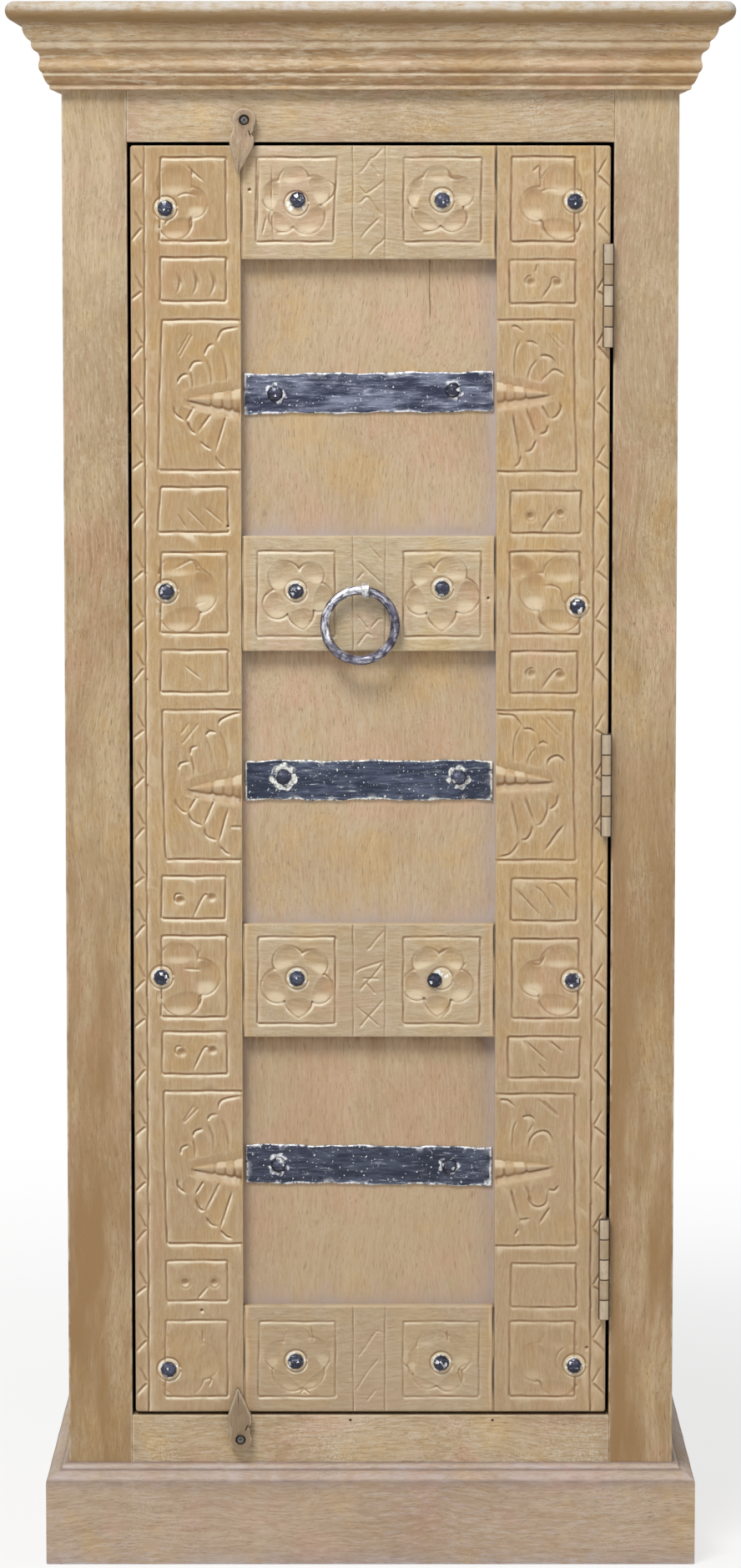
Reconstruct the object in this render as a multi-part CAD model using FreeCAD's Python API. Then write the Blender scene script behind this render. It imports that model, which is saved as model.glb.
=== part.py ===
import FreeCAD, Part
import math
import os

V = FreeCAD.Vector

# Frame: X runs across the front, Y to the back, Z up. The origin is on the floor, under the
# middle of the whole. All sizes are in millimetres.

# Whole cabinet
HEIGHT = 1400.0
PLATE_WIDTH = 640.0
DEPTH = 400.0
BODY_WIDTH = 546.0
PLATE_THICKNESS = 18.0
PLATE_CORNER_RADIUS = 12.0
PLATE_TOP_ROUND = 7.9
PLATE_BOTTOM_ROUND = 10.0

# Carcass boards
BOARD = 18.0
BACK_THICKNESS = 8.0
BACK_REBATE = 9.0
BACK_FOOT_GAP = 20.0
BEARER_WIDTH = 20.0
BEARER_HEIGHT = 30.0
SHELF_TOPS = {"lower": 420.0, "middle": 720.0, "upper": 1020.0}
SHELF_SETBACK = 14.0
CLEAT_WIDTH = 18.0
CLEAT_HEIGHT = 25.0
CLEAT_LENGTH = 280.0

# Face frame and door opening
FRAME_THICKNESS = 24.0
OPENING_WIDTH = 431.0
OPENING_BOTTOM = 133.0
OPENING_TOP = 1278.2
FRAME_RAIL_FOOT = 55.0
TENON_LENGTH = 25.0
TENON_THICKNESS = 8.0
TENON_SHOULDER = 12.0

# Plinth, and the moulding worked on its upper edge, as distances out and up from its arris
PLINTH_PROUD = 20.0
PLINTH_ARRIS = 77.0
PLINTH_RISE = 13.0
PLINTH_BEAD = 6.0

# Cornice moulding
CORNICE_BOTTOM = 1324.0
CORNICE_REACH = 32.4

# Door
DOOR_GAP = 3.0
DOOR_CORNER_RADIUS = 2.5
STILE_WIDTH = {"left": 97.5, "right": 100.5}
RAILS = {
    "top": (1175.0, OPENING_TOP - DOOR_GAP),
    "upper": (827.0, 929.5),
    "lower": (479.0, 581.0),
    "bottom": (OPENING_BOTTOM + DOOR_GAP, 233.0),
}
PANELS = {"top": ("upper", "top"), "middle": ("lower", "upper"), "bottom": ("bottom", "lower")}
PANEL_RECESS = 13.0
PANEL_THICKNESS = 7.0
PANEL_TONGUE = 8.0

# Iron straps and forged nails
STRAP_ENDS = (-112.5, 109.5)
STRAP_HEIGHT = 36.0
STRAP_THICKNESS = 2.5
STRAP_LEVELS = {"top": 1056.5, "middle": 710.0, "bottom": 361.0}
NAIL_HEAD_RADIUS = 7.3
NAIL_SHOULDER_RADIUS = 5.6
NAIL_TIP_RADIUS = 2.4
NAIL_HEAD_HEIGHT = 5.5
NAIL_SHANK_RADIUS = 1.8
NAIL_LENGTH = 16.0
STRAP_NAIL_LENGTH = 6.0
NAIL_FLATS = 8
STRAP_NAILS = [(-85, 1056), (73.5, 1059), (-78, 713), (79, 712.5), (-83, 361), (71, 360)]
LEFT_STILE_NAILS = [(-181.5, 1220), (-182, 880), (-187.5, 533), (-182.5, 175)]
RIGHT_STILE_NAILS = [(181, 1226), (184.5, 867), (181.5, 530), (184.5, 178.5)]
RAIL_NAILS = {
    "top": [(-64.5, 1227.5), (63.5, 1227)],
    "upper": [(-66.5, 880.5), (64, 883)],
    "lower": [(-66, 532), (57.5, 530.5)],
    "bottom": [(-67.5, 182.5), (64, 181)],
}

# Ring handle and its staple
RING_CENTRE_X = -9.4
RING_CENTRE_Z = 850.7
RING_RADIUS = 31.4
RING_WIRE_RADIUS = 4.2
RING_BENDS = 32
RING_FLATS = 10
STAPLE_X = -4.5
STAPLE_STANDOFF = 9.5
STAPLE_EYE_RADIUS = 5.4
STAPLE_OUTER_RADIUS = 7.2
STAPLE_WIDTH = 6.6
STAPLE_LEG_HEIGHT = 5.0
STAPLE_LEG_DEPTH = 14.0
STAPLE_FLATS = 16

# Butt hinges
HINGE_LEVELS = [1143.0, 707.0, 268.0]
HINGE_LENGTH = 92.0
KNUCKLES = 5
KNUCKLE_GAP = 0.3
KNUCKLE_RADIUS = 5.0
KNUCKLE_FLATS = 12
PIN_SEAT_FLATS = 12
HINGE_AXIS_INSET = 5.0
HINGE_AXIS_PROUD = 5.3
HINGE_PIN_RADIUS = 1.6
PIN_RUNNING_GAP = 0.06
LEAF_THICKNESS = 1.4
LEAF_DEPTH = 20.0
LEAF_CLEARANCE = 0.4
HINGE_SCREW_RADIUS = 1.6
HINGE_SCREW_HEAD = 3.0
HINGE_SCREW_LENGTH = 18.0
HINGE_SCREW_OFFSETS = [-32.0, 0.0, 32.0]
HINGE_SCREW_FLATS = 6

# Wooden turn buttons
BUTTON_PIVOTS = {"top": (-111.6, 1297.5), "bottom": (-117.5, 112.0)}
BUTTON_TILT = {"top": 6.6, "bottom": -3.0}
BUTTON_REACH = 47.0
BUTTON_EYE_RADIUS = 10.4
BUTTON_WAIST = 9.4
BUTTON_BELLY = 10.8
BUTTON_THICKNESS = 9.0
EYE_FLATS = 12
BELLY_FLATS = 3
BUTTON_GAP = 0.1
COUNTERBORE_RADIUS = 4.7
COUNTERBORE_DEPTH = 4.5
COUNTERBORE_FLATS = 16
BUTTON_SCREW_RADIUS = 1.9
BUTTON_HOLE_GAP = 0.06
BUTTON_SCREW_HEAD_RADIUS = 3.9
BUTTON_SCREW_HEAD_HEIGHT = 2.4
BUTTON_SCREW_HEAD_ROUND = 1.0
BUTTON_SCREW_FLATS = 12
BUTTON_SCREW_LENGTH = 22.0

# Carving: chisel lines and gouge scoops in the faces of the door stiles and rails
CHISEL_WIDTH = 3.2
CHISEL_DEPTH = 1.6
FINE_WIDTH = 2.0
FINE_DEPTH = 1.0
CUT_OVERSHOOT = 0.3
BORDER_LINE = 12.5
ZIGZAG_PITCH = 50.0
ZIGZAG_RISE = 13.0
SQUARE_INSET = (14.0, 11.0)
STILE_SQUARES = {
    "left": [(1191, 1264), (843, 914.5), (497, 569.5), (150, 219)],
    "right": [(1190.5, 1265), (841.5, 915.5), (496, 567.5), (150, 219)],
}
STILE_BARS = {
    "left": [(1138, 1176.5), (932.5, 972), (788.5, 827), (583.5, 623.5), (444.5, 482.5), (238, 275)],
    "right": [(1136, 1174.5), (932.5, 968.5), (789, 826.5), (583, 622), (441, 479), (233, 272)],
}
STILE_FANS = {
    "left": [(987, 1121.5), (638.5, 773.5), (290, 429)],
    "right": [(987, 1121), (638, 773), (290, 426)],
}
CARVED_X = {"left": (-185.5, -128.5), "right": (124.5, 184.0)}
RAIL_SQUARES_X = [(-101.0, -31.5), (29.5, 98.5)]
LATTICE_X = (-15.5, 13.2)
LATTICE_CROSSES = 3
CHIP_SIDES = 6
PETAL_RADIUS = 8.6
PETAL_DEPTH = 1.5
PETAL_RING = 19.5
LEAF_SCOOP_RADIUS = 6.0
LEAF_SCOOP_DEPTH = 1.1
SPINDLE_LENGTH = 46.0
SPINDLE_RADIUS = 6.0
SPINDLE_SINK = 2.6
SPINDLE_FLATS = 8

# Places worked out from the sizes above
PLATE_HALF = PLATE_WIDTH / 2
BODY_HALF = BODY_WIDTH / 2
BACK = DEPTH / 2
FACE = -DEPTH / 2 + (PLATE_WIDTH - BODY_WIDTH) / 2
INSIDE_FRONT = FACE + FRAME_THICKNESS
INSIDE_BACK = BACK - BACK_THICKNESS
INSIDE_HALF = BODY_HALF - BOARD
OPENING_HALF = OPENING_WIDTH / 2
DOOR_HALF = OPENING_HALF - DOOR_GAP
DOOR_BOTTOM = OPENING_BOTTOM + DOOR_GAP
DOOR_TOP = OPENING_TOP - DOOR_GAP
PLATE_BOTTOM = HEIGHT - PLATE_THICKNESS
STILE_INNER = {"left": -DOOR_HALF + STILE_WIDTH["left"], "right": DOOR_HALF - STILE_WIDTH["right"]}
PANEL_FACE = FACE + PANEL_RECESS
HINGE_X = OPENING_HALF - HINGE_AXIS_INSET
HINGE_Y = FACE - HINGE_AXIS_PROUD
EYE_Y = FACE - STAPLE_STANDOFF
EYE_Z = RING_CENTRE_Z + math.sqrt(RING_RADIUS ** 2 - (STAPLE_X - RING_CENTRE_X) ** 2)


def block(x, y, z):
    """A board given by its (low, high) pairs along X, Y and Z."""
    low = V(x[0], y[0], z[0])
    return Part.makeBox(x[1] - x[0], y[1] - y[0], z[1] - z[0], low)


def plan_prism(points, low, high):
    """A prism that stands on a polygon drawn in plan."""
    face = polygon_face([V(x, y, low) for x, y in points])
    return face.extrude(V(0, 0, high - low))


def outline(start, steps):
    """A closed list of edges. A step is the next point, or an arc's middle and end points."""
    edges = []
    here = start
    for step in steps:
        if isinstance(step, tuple):
            middle, end = step
            edges.append(Part.Arc(here, middle, end).toShape())
            here = end
        else:
            edges.append(Part.LineSegment(here, step).toShape())
            here = step
    edges.append(Part.LineSegment(here, start).toShape())
    return Part.Face(Part.Wire(edges))


def rod(centre, direction, radius, length):
    return Part.makeCylinder(radius, length, centre, direction)


def corner_ring(centre, across, other, radius, sides, turn=0.0):
    """The corners of a regular polygon round a centre, in the plane of two directions."""
    corners = []
    for index in range(sides):
        angle = 2 * math.pi * (index + turn) / sides
        corners.append(centre + across * (radius * math.cos(angle)) + other * (radius * math.sin(angle)))
    return corners


def sewn(faces):
    """A solid from the flat faces that close it."""
    shell = Part.makeShell(faces)
    shell.sewShape()
    return Part.makeSolid(shell)


def joined_rings(rings):
    """Flat faces from each ring of corners to the next."""
    faces = []
    for near, far in zip(rings, rings[1:]):
        for index, corner in enumerate(near):
            faces.append(polygon_face([near[index - 1], far[index - 1], far[index], corner]))
    return faces


def faceted_bar(centre, axis, levels, sides, turn=0.0):
    """A round bar worked in flats. Levels are pairs of distance along the axis and radius."""
    across = V(0, 0, 1) if abs(axis.z) < 0.5 else V(1, 0, 0)
    other = axis.cross(across)
    rings = []
    for along, radius in levels:
        rings.append(corner_ring(centre + axis * along, across, other, radius, sides, turn))
    return sewn(joined_rings(rings) + [polygon_face(rings[0]), polygon_face(rings[-1])])


def flat_cuts(start, middle, end, count):
    """The far ends of short straight cuts that follow an arc."""
    return Part.Arc(start, middle, end).toShape().discretize(count + 1)[1:]


def polygon_face(points):
    return Part.Face(Part.makePolygon(points + points[:1]))


def mirrored(shape):
    return shape.mirror(V(0, 0, 0), V(1, 0, 0))


# Mouldings. A profile is a list of (out, up) points: out is measured from the body's face.

def cornice_profile(place):
    """Base fillet, quarter round, bead, hollow, torus and large ovolo, from bottom to top."""
    low = CORNICE_BOTTOM
    return outline(place(0, low), [
        place(9.5, low),
        place(9.8, low + 4),
        place(11.0, low + 4.4),
        (place(13.9, low + 6.6), place(14.9, low + 11)),
        place(15.5, low + 15),
        place(16.8, low + 15.4),
        (place(18.2, low + 19), place(17.8, low + 24.5)),
        (place(18.1, low + 29.5), place(19.6, low + 32)),
        (place(23.4, low + 35.6), place(25.0, low + 41)),
        place(25.9, low + 42.4),
        (place(30.6, low + 47.6), place(CORNICE_REACH, low + 54)),
        place(CORNICE_REACH, PLATE_BOTTOM),
        place(0, PLATE_BOTTOM),
    ])


def plinth_profile(place):
    """A plain board with a long rounded slope and a small bead worked on its upper edge."""
    top = PLINTH_ARRIS + PLINTH_RISE
    bead_foot = top - PLINTH_BEAD
    return outline(place(0, 0), [
        place(PLINTH_PROUD, 0),
        place(PLINTH_PROUD, PLINTH_ARRIS),
        (place(PLINTH_PROUD - 5.5, PLINTH_ARRIS + 4.6), place(PLINTH_PROUD - 13.5, bead_foot)),
        place(PLINTH_PROUD - 13.5, bead_foot + 1.2),
        (place(PLINTH_PROUD - 15.2, bead_foot + 4.2), place(0.5, top)),
        place(0, top),
    ])


def mitred_length(profile, side, reach):
    """One length of a moulding, cut at 45 degrees where it meets its neighbour."""
    far = BODY_HALF + reach
    if side == "front":
        face = profile(lambda out, up: V(-far, FACE - out, up))
        bar = face.extrude(V(2 * far, 0, 0))
        plan = [(-BODY_HALF, FACE), (BODY_HALF, FACE), (far, FACE - reach), (-far, FACE - reach)]
        return bar.common(plan_prism(plan, 0, HEIGHT))
    face = profile(lambda out, up: V(BODY_HALF + out, FACE - reach, up))
    bar = face.extrude(V(0, BACK - FACE + reach, 0))
    plan = [(BODY_HALF, FACE), (far, FACE - reach), (far, BACK), (BODY_HALF, BACK)]
    right = bar.common(plan_prism(plan, 0, HEIGHT))
    return right if side == "right" else mirrored(right)


def top_plate():
    """The top board: rounded corners at the front, and a full round on three edges."""
    plate = block((-PLATE_HALF, PLATE_HALF), (-BACK, BACK), (PLATE_BOTTOM, HEIGHT))
    corners = [e for e in plate.Edges if is_upright(e) and e.Vertexes[0].Y < 0]
    plate = plate.makeFillet(PLATE_CORNER_RADIUS, corners)
    upper = [e for e in plate.Edges if lies_at(e, HEIGHT)]
    plate = plate.makeFillet(PLATE_TOP_ROUND, upper)
    lower = [e for e in plate.Edges if lies_at(e, PLATE_BOTTOM)]
    return plate.makeFillet(PLATE_BOTTOM_ROUND, lower)


def is_upright(edge):
    ends = edge.Vertexes
    return abs(ends[0].X - ends[1].X) < 0.01 and abs(ends[0].Y - ends[1].Y) < 0.01


def lies_at(edge, level):
    """True for an edge at this height that isn't the straight back edge."""
    ends = edge.Vertexes
    at_level = all(abs(end.Z - level) < 0.01 for end in ends)
    at_back = all(abs(end.Y - BACK) < 0.01 for end in ends)
    return at_level and not at_back


# Carcass

def back_panel():
    reach = INSIDE_HALF + BACK_REBATE
    return block((-reach, reach), (INSIDE_BACK, BACK), (BACK_FOOT_GAP, PLATE_BOTTOM))


def side_panel(side):
    """A side board, rebated along its back edge for the back panel."""
    board = block((INSIDE_HALF, BODY_HALF), (INSIDE_FRONT, BACK), (0, PLATE_BOTTOM))
    rebate = block((INSIDE_HALF, INSIDE_HALF + BACK_REBATE), (INSIDE_BACK, BACK),
                   (BACK_FOOT_GAP, PLATE_BOTTOM))
    board = board.cut(rebate)
    return board if side == "right" else mirrored(board)


def bottom_board():
    return block((-INSIDE_HALF, INSIDE_HALF), (INSIDE_FRONT, INSIDE_BACK),
                 (OPENING_BOTTOM - BOARD, OPENING_BOTTOM))


def bottom_bearer(side):
    top = OPENING_BOTTOM - BOARD
    bearer = block((INSIDE_HALF - BEARER_WIDTH, INSIDE_HALF), (INSIDE_FRONT, INSIDE_BACK - BOARD),
                   (top - BEARER_HEIGHT, top))
    return bearer if side == "right" else mirrored(bearer)


def base_rail_back():
    return block((-INSIDE_HALF, INSIDE_HALF), (INSIDE_BACK - BOARD, INSIDE_BACK),
                 (0, OPENING_BOTTOM - BOARD))


def shelf(level):
    top = SHELF_TOPS[level]
    return block((-INSIDE_HALF, INSIDE_HALF), (INSIDE_FRONT + SHELF_SETBACK, INSIDE_BACK),
                 (top - BOARD, top))


def shelf_cleat(level, side):
    """A bar under one end of a shelf, with its lower front corner cut back."""
    top = SHELF_TOPS[level] - BOARD
    front = INSIDE_BACK - CLEAT_LENGTH
    bevel = CLEAT_HEIGHT * 0.6
    x = INSIDE_HALF - CLEAT_WIDTH
    face = outline(V(x, front, top), [
        V(x, INSIDE_BACK, top),
        V(x, INSIDE_BACK, top - CLEAT_HEIGHT),
        V(x, front + bevel, top - CLEAT_HEIGHT),
        V(x, front, top - CLEAT_HEIGHT + bevel),
    ])
    cleat = face.extrude(V(CLEAT_WIDTH, 0, 0))
    return cleat if side == "right" else mirrored(cleat)


# Face frame

def frame_tenons(low, high):
    """The tenons at both ends of a frame rail."""
    middle = (FACE + INSIDE_FRONT) / 2
    thickness = (middle - TENON_THICKNESS / 2, middle + TENON_THICKNESS / 2)
    height = (low + TENON_SHOULDER, high - TENON_SHOULDER)
    reach = OPENING_HALF + TENON_LENGTH
    return [
        block((-reach, -OPENING_HALF), thickness, height),
        block((OPENING_HALF, reach), thickness, height),
    ]


def frame_rail(low, high):
    bar = block((-OPENING_HALF, OPENING_HALF), (FACE, INSIDE_FRONT), (low, high))
    return bar.fuse(frame_tenons(low, high)).removeSplitter()


def frame_stile(side):
    """A frame stile with mortises for the tenons of the two rails."""
    stile = block((OPENING_HALF, BODY_HALF), (FACE, INSIDE_FRONT), (0, PLATE_BOTTOM))
    mortises = frame_tenons(FRAME_RAIL_FOOT, OPENING_BOTTOM) + frame_tenons(OPENING_TOP, PLATE_BOTTOM)
    stile = stile.cut(mortises)
    return stile if side == "right" else mirrored(stile)


# Carving tools. Points on the door are (x, z), and every tool cuts into the front face.

def chisel_line(start, end, width=FINE_WIDTH, depth=FINE_DEPTH):
    """A straight groove of V section between two points."""
    along = V(end[0] - start[0], 0, end[1] - start[1])
    across = V(-along.z, 0, along.x)
    across.normalize()
    half = width / 2 * (1 + CUT_OVERSHOOT / depth)
    origin = V(start[0], FACE - CUT_OVERSHOOT, start[1])
    bottom = V(start[0], FACE + depth, start[1])
    section = polygon_face([origin + across * half, bottom, origin - across * half])
    return section.extrude(along)


def chip_cut(x, z, radius, depth):
    """A shallow hollow cut in flats that meet at its bottom."""
    mouth = radius * (1 + CUT_OVERSHOOT / depth)
    rim = corner_ring(V(x, FACE - CUT_OVERSHOOT, z), V(1, 0, 0), V(0, 0, 1), mouth, CHIP_SIDES)
    bottom = V(x, FACE + depth, z)
    flats = [polygon_face([rim[index - 1], corner, bottom]) for index, corner in enumerate(rim)]
    return sewn(flats + [polygon_face(rim)])


def carved_border(x, z):
    """A frame cut as one groove of V section, mitred at its corners."""
    half = CHISEL_WIDTH / 2 * (1 + CUT_OVERSHOOT / CHISEL_DEPTH)

    def corners(grow, y):
        west, east = x[0] - grow, x[1] + grow
        low, high = z[0] - grow, z[1] + grow
        return [V(west, y, low), V(east, y, low), V(east, y, high), V(west, y, high)]

    outer = corners(half, FACE - CUT_OVERSHOOT)
    bottom = corners(0, FACE + CHISEL_DEPTH)
    inner = corners(-half, FACE - CUT_OVERSHOOT)
    return sewn(joined_rings([outer, bottom, inner, outer]))


def rosette(x, z, first, petals):
    """Petals scooped round a nail, one for each sixth of a turn, from the angle first."""
    cuts = []
    for index in range(petals):
        angle = math.radians(first + 60 * index)
        cuts.append(chip_cut(x + PETAL_RING * math.cos(angle), z + PETAL_RING * math.sin(angle),
                             PETAL_RADIUS, PETAL_DEPTH))
    return cuts


def leaf_strokes(x, z):
    """Two slanting strokes in a low frame."""
    step = (x[1] - x[0]) / 4
    cuts = []
    for index in (0.8, 2.2):
        start = x[0] + step * index
        cuts.append(chisel_line((start, z[1] - 8), (start + step, z[0] + 8)))
    return cuts


def fan_scoops(inner, way, middle):
    """Lobes of a leaf round the spindle, above and below it. way points into the stile."""
    cuts = []
    for turn, reach in ((28, 47), (46, 50), (64, 53), (82, 56)):
        for sign in (-1, 1):
            angle = math.radians(turn)
            x = inner + way * reach * math.cos(angle)
            z = middle + sign * reach * math.sin(angle)
            cuts.append(chip_cut(x, z, LEAF_SCOOP_RADIUS, LEAF_SCOOP_DEPTH))
    return cuts


def spindle_hollow(inner, way, middle):
    """The sunk ground round a spindle: a shallow wedge that opens at the stile's inner edge."""
    half = SPINDLE_RADIUS * 1.45
    face = polygon_face([
        V(inner - way, FACE - CUT_OVERSHOOT, middle + half),
        V(inner + way * SPINDLE_LENGTH * 1.06, FACE - CUT_OVERSHOOT, middle),
        V(inner - way, FACE - CUT_OVERSHOOT, middle - half),
    ])
    return face.extrude(V(0, CUT_OVERSHOOT + SPINDLE_SINK, 0))


def spindle(inner, way, middle):
    """A turned spindle in half relief: collar, waist, ring and a long taper to a point."""
    radius = SPINDLE_RADIUS
    length = SPINDLE_LENGTH
    levels = [
        (0, radius * 0.86),
        (length * 0.08, radius),
        (length * 0.16, radius * 0.84),
        (length * 0.21, radius * 0.72),
        (length * 0.27, radius * 0.86),
        (length * 0.40, radius),
        (length * 0.54, radius * 0.74),
        (length, 0.3),
    ]
    turned = faceted_bar(V(inner, FACE + radius, middle), V(way, 0, 0), levels, SPINDLE_FLATS)
    ground = block((-DOOR_HALF, DOOR_HALF), (FACE - 1, FACE + SPINDLE_SINK + 2),
                   (middle - 2 * radius, middle + 2 * radius))
    return turned.common(ground)


def stile_carving(side):
    """All the hollows cut into a stile, and the spindles left standing in them."""
    way = -1 if side == "left" else 1
    inner = STILE_INNER[side]
    x = CARVED_X[side]
    edge = way * DOOR_HALF
    border = way * (DOOR_HALF - BORDER_LINE)
    cuts = [chisel_line((border, DOOR_BOTTOM - 1), (border, DOOR_TOP + 1))]
    level = DOOR_BOTTOM + ZIGZAG_PITCH / 4
    while level + ZIGZAG_PITCH < DOOR_TOP:
        cuts.append(chisel_line((edge, level), (border, level + ZIGZAG_RISE)))
        level += ZIGZAG_PITCH
    for z in STILE_SQUARES[side]:
        cuts.append(carved_border(x, z))
    for z in STILE_BARS[side]:
        cuts.append(carved_border(x, z))
        cuts += leaf_strokes(x, z)
    for nail in LEFT_STILE_NAILS if side == "left" else RIGHT_STILE_NAILS:
        cuts += rosette(nail[0], nail[1], -60 if side == "left" else 120, 3)
    spindles = []
    for z in STILE_FANS[side]:
        middle = (z[0] + z[1]) / 2
        past_edge = inner - way * 2 * CHISEL_WIDTH
        cuts.append(carved_border(sorted((x[0] if side == "left" else x[1], past_edge)), z))
        cuts += fan_scoops(inner, way, middle)
        cuts.append(spindle_hollow(inner, way, middle))
        spindles.append(spindle(inner, way, middle))
    return cuts, spindles


def rail_carving(name):
    """Two framed rosettes round the nails, and a lattice band between them."""
    low, high = RAILS[name]
    z = (low + SQUARE_INSET[0], high - SQUARE_INSET[1])
    cuts = []
    for x in RAIL_SQUARES_X:
        cuts.append(carved_border(x, z))
    for nail in RAIL_NAILS[name]:
        cuts += rosette(nail[0], nail[1], 30, 6)
    for x in LATTICE_X:
        cuts.append(chisel_line((x, low - 1), (x, high + 1)))
    step = (high - low) / LATTICE_CROSSES
    for index in range(LATTICE_CROSSES):
        foot = low + index * step
        cuts.append(chisel_line((LATTICE_X[0], foot), (LATTICE_X[1], foot + step)))
        cuts.append(chisel_line((LATTICE_X[1], foot), (LATTICE_X[0], foot + step)))
    return cuts


# Door

def rail_tenons(name):
    """The stub tenons at both ends of a door rail, in line with the panel grooves."""
    low, high = RAILS[name]
    thickness = (PANEL_FACE, PANEL_FACE + PANEL_THICKNESS)
    height = (low + TENON_SHOULDER, high - TENON_SHOULDER)
    return [
        block((STILE_INNER["left"] - TENON_LENGTH, STILE_INNER["left"]), thickness, height),
        block((STILE_INNER["right"], STILE_INNER["right"] + TENON_LENGTH), thickness, height),
    ]


def door_panel(name):
    """A flat panel whose edges run as tongues into the grooves round it."""
    below, above = PANELS[name]
    x = (STILE_INNER["left"] - PANEL_TONGUE, STILE_INNER["right"] + PANEL_TONGUE)
    z = (RAILS[below][1] - PANEL_TONGUE, RAILS[above][0] + PANEL_TONGUE)
    return block(x, (PANEL_FACE, PANEL_FACE + PANEL_THICKNESS), z)


def door_stile(side):
    """A carved stile, grooved for the panels and mortised for the rails."""
    outer = -DOOR_HALF if side == "left" else DOOR_HALF
    x = tuple(sorted((outer, STILE_INNER[side])))
    stile = block(x, (FACE, INSIDE_FRONT), (DOOR_BOTTOM, DOOR_TOP))
    corners = [e for e in stile.Edges if runs_back(e) and abs(e.Vertexes[0].X - outer) < 0.01]
    stile = stile.makeFillet(DOOR_CORNER_RADIUS, corners)
    joints = [door_panel(name) for name in PANELS]
    for name in RAILS:
        joints += rail_tenons(name)
    cuts, spindles = stile_carving(side)
    return stile.cut(joints + cuts).fuse(spindles)


def runs_back(edge):
    ends = edge.Vertexes
    return abs(ends[0].Y - ends[1].Y) > 1


def door_rail(name):
    """A carved rail between the stiles, grooved for the panels above and below it."""
    bar = block((STILE_INNER["left"], STILE_INNER["right"]), (FACE, INSIDE_FRONT), RAILS[name])
    grooves = [door_panel(panel) for panel in PANELS]
    bar = bar.cut(grooves + rail_carving(name))
    return bar.fuse(rail_tenons(name))


def iron_strap(name):
    """A hammered flat bar: its long edges wander a little, as wrought iron does."""
    middle = STRAP_LEVELS[name]
    half = STRAP_HEIGHT / 2
    left, right = STRAP_ENDS
    waves = 6
    pitch = (right - left) / waves
    y = PANEL_FACE - STRAP_THICKNESS
    points = []
    for index in range(waves):
        here = left + index * pitch
        bulge = 0.9 if index % 2 else -0.6
        points.append(V(here, y, middle + half))
        points.append(V(here + pitch / 2, y, middle + half + bulge))
    points.append(V(right, y, middle + half))
    for index in range(waves):
        here = right - index * pitch
        bulge = 0.6 if index % 2 else -0.9
        points.append(V(here, y, middle - half))
        points.append(V(here - pitch / 2, y, middle - half + bulge))
    points.append(V(left, y, middle - half))
    return polygon_face(points).extrude(V(0, STRAP_THICKNESS, 0))


def forged_nail(x, z, seat, length):
    """A forged nail: a hammered head with flat facets, and a shank driven into the wood."""
    turn = (x * 0.37 + z * 0.11) % 1
    levels = [
        (0, NAIL_HEAD_RADIUS),
        (NAIL_HEAD_HEIGHT * 0.55, NAIL_SHOULDER_RADIUS),
        (NAIL_HEAD_HEIGHT, NAIL_TIP_RADIUS),
    ]
    head = faceted_bar(V(x, seat, z), V(0, -1, 0), levels, NAIL_FLATS, turn)
    shank = block((x - NAIL_SHANK_RADIUS, x + NAIL_SHANK_RADIUS), (seat - 1, seat + length),
                  (z - NAIL_SHANK_RADIUS, z + NAIL_SHANK_RADIUS))
    return head.fuse(shank)


def door_nails():
    places = LEFT_STILE_NAILS + RIGHT_STILE_NAILS
    for name in RAIL_NAILS:
        places = places + RAIL_NAILS[name]
    return Part.makeCompound([forged_nail(x, z, FACE, NAIL_LENGTH) for x, z in places])


def strap_nails():
    seat = PANEL_FACE - STRAP_THICKNESS
    return Part.makeCompound([forged_nail(x, z, seat, STRAP_NAIL_LENGTH) for x, z in STRAP_NAILS])


# Ring handle

def ring_handle():
    """A round bar bent into a ring, with the flats that the hammer leaves."""
    centre = V(RING_CENTRE_X, EYE_Y, RING_CENTRE_Z)
    rings = []
    for bend in range(RING_BENDS):
        angle = 2 * math.pi * bend / RING_BENDS
        out = V(math.cos(angle), 0, math.sin(angle))
        rings.append(corner_ring(centre + out * RING_RADIUS, out, V(0, 1, 0), RING_WIRE_RADIUS, RING_FLATS, 0.5))
    return sewn(joined_rings(rings + rings[:1]))


def ring_staple():
    """A flat bar bent into an eye round the ring's wire, with both ends driven into the rail."""
    start = V(STAPLE_X - STAPLE_WIDTH / 2, EYE_Y, EYE_Z)
    eye = faceted_bar(start, V(1, 0, 0), [(0, STAPLE_OUTER_RADIUS), (STAPLE_WIDTH, STAPLE_OUTER_RADIUS)],
                      STAPLE_FLATS)
    legs = block((STAPLE_X - STAPLE_WIDTH / 2, STAPLE_X + STAPLE_WIDTH / 2),
                 (EYE_Y, FACE + STAPLE_LEG_DEPTH),
                 (EYE_Z - STAPLE_LEG_HEIGHT / 2, EYE_Z + STAPLE_LEG_HEIGHT / 2))
    hole = rod(start, V(1, 0, 0), STAPLE_EYE_RADIUS, STAPLE_WIDTH)
    return eye.fuse(legs).cut(hole)


# Hinges. The frame leaf carries the outer and middle knuckles, and the pin is fixed in them.

def knuckle_span(level, index):
    pitch = HINGE_LENGTH / KNUCKLES
    low = level - HINGE_LENGTH / 2 + index * pitch
    return low, low + pitch


def knuckle(low, high, radius):
    return faceted_bar(V(HINGE_X, HINGE_Y, low), V(0, 0, 1), [(0, radius), (high - low, radius)],
                       KNUCKLE_FLATS, 0.5)


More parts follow.
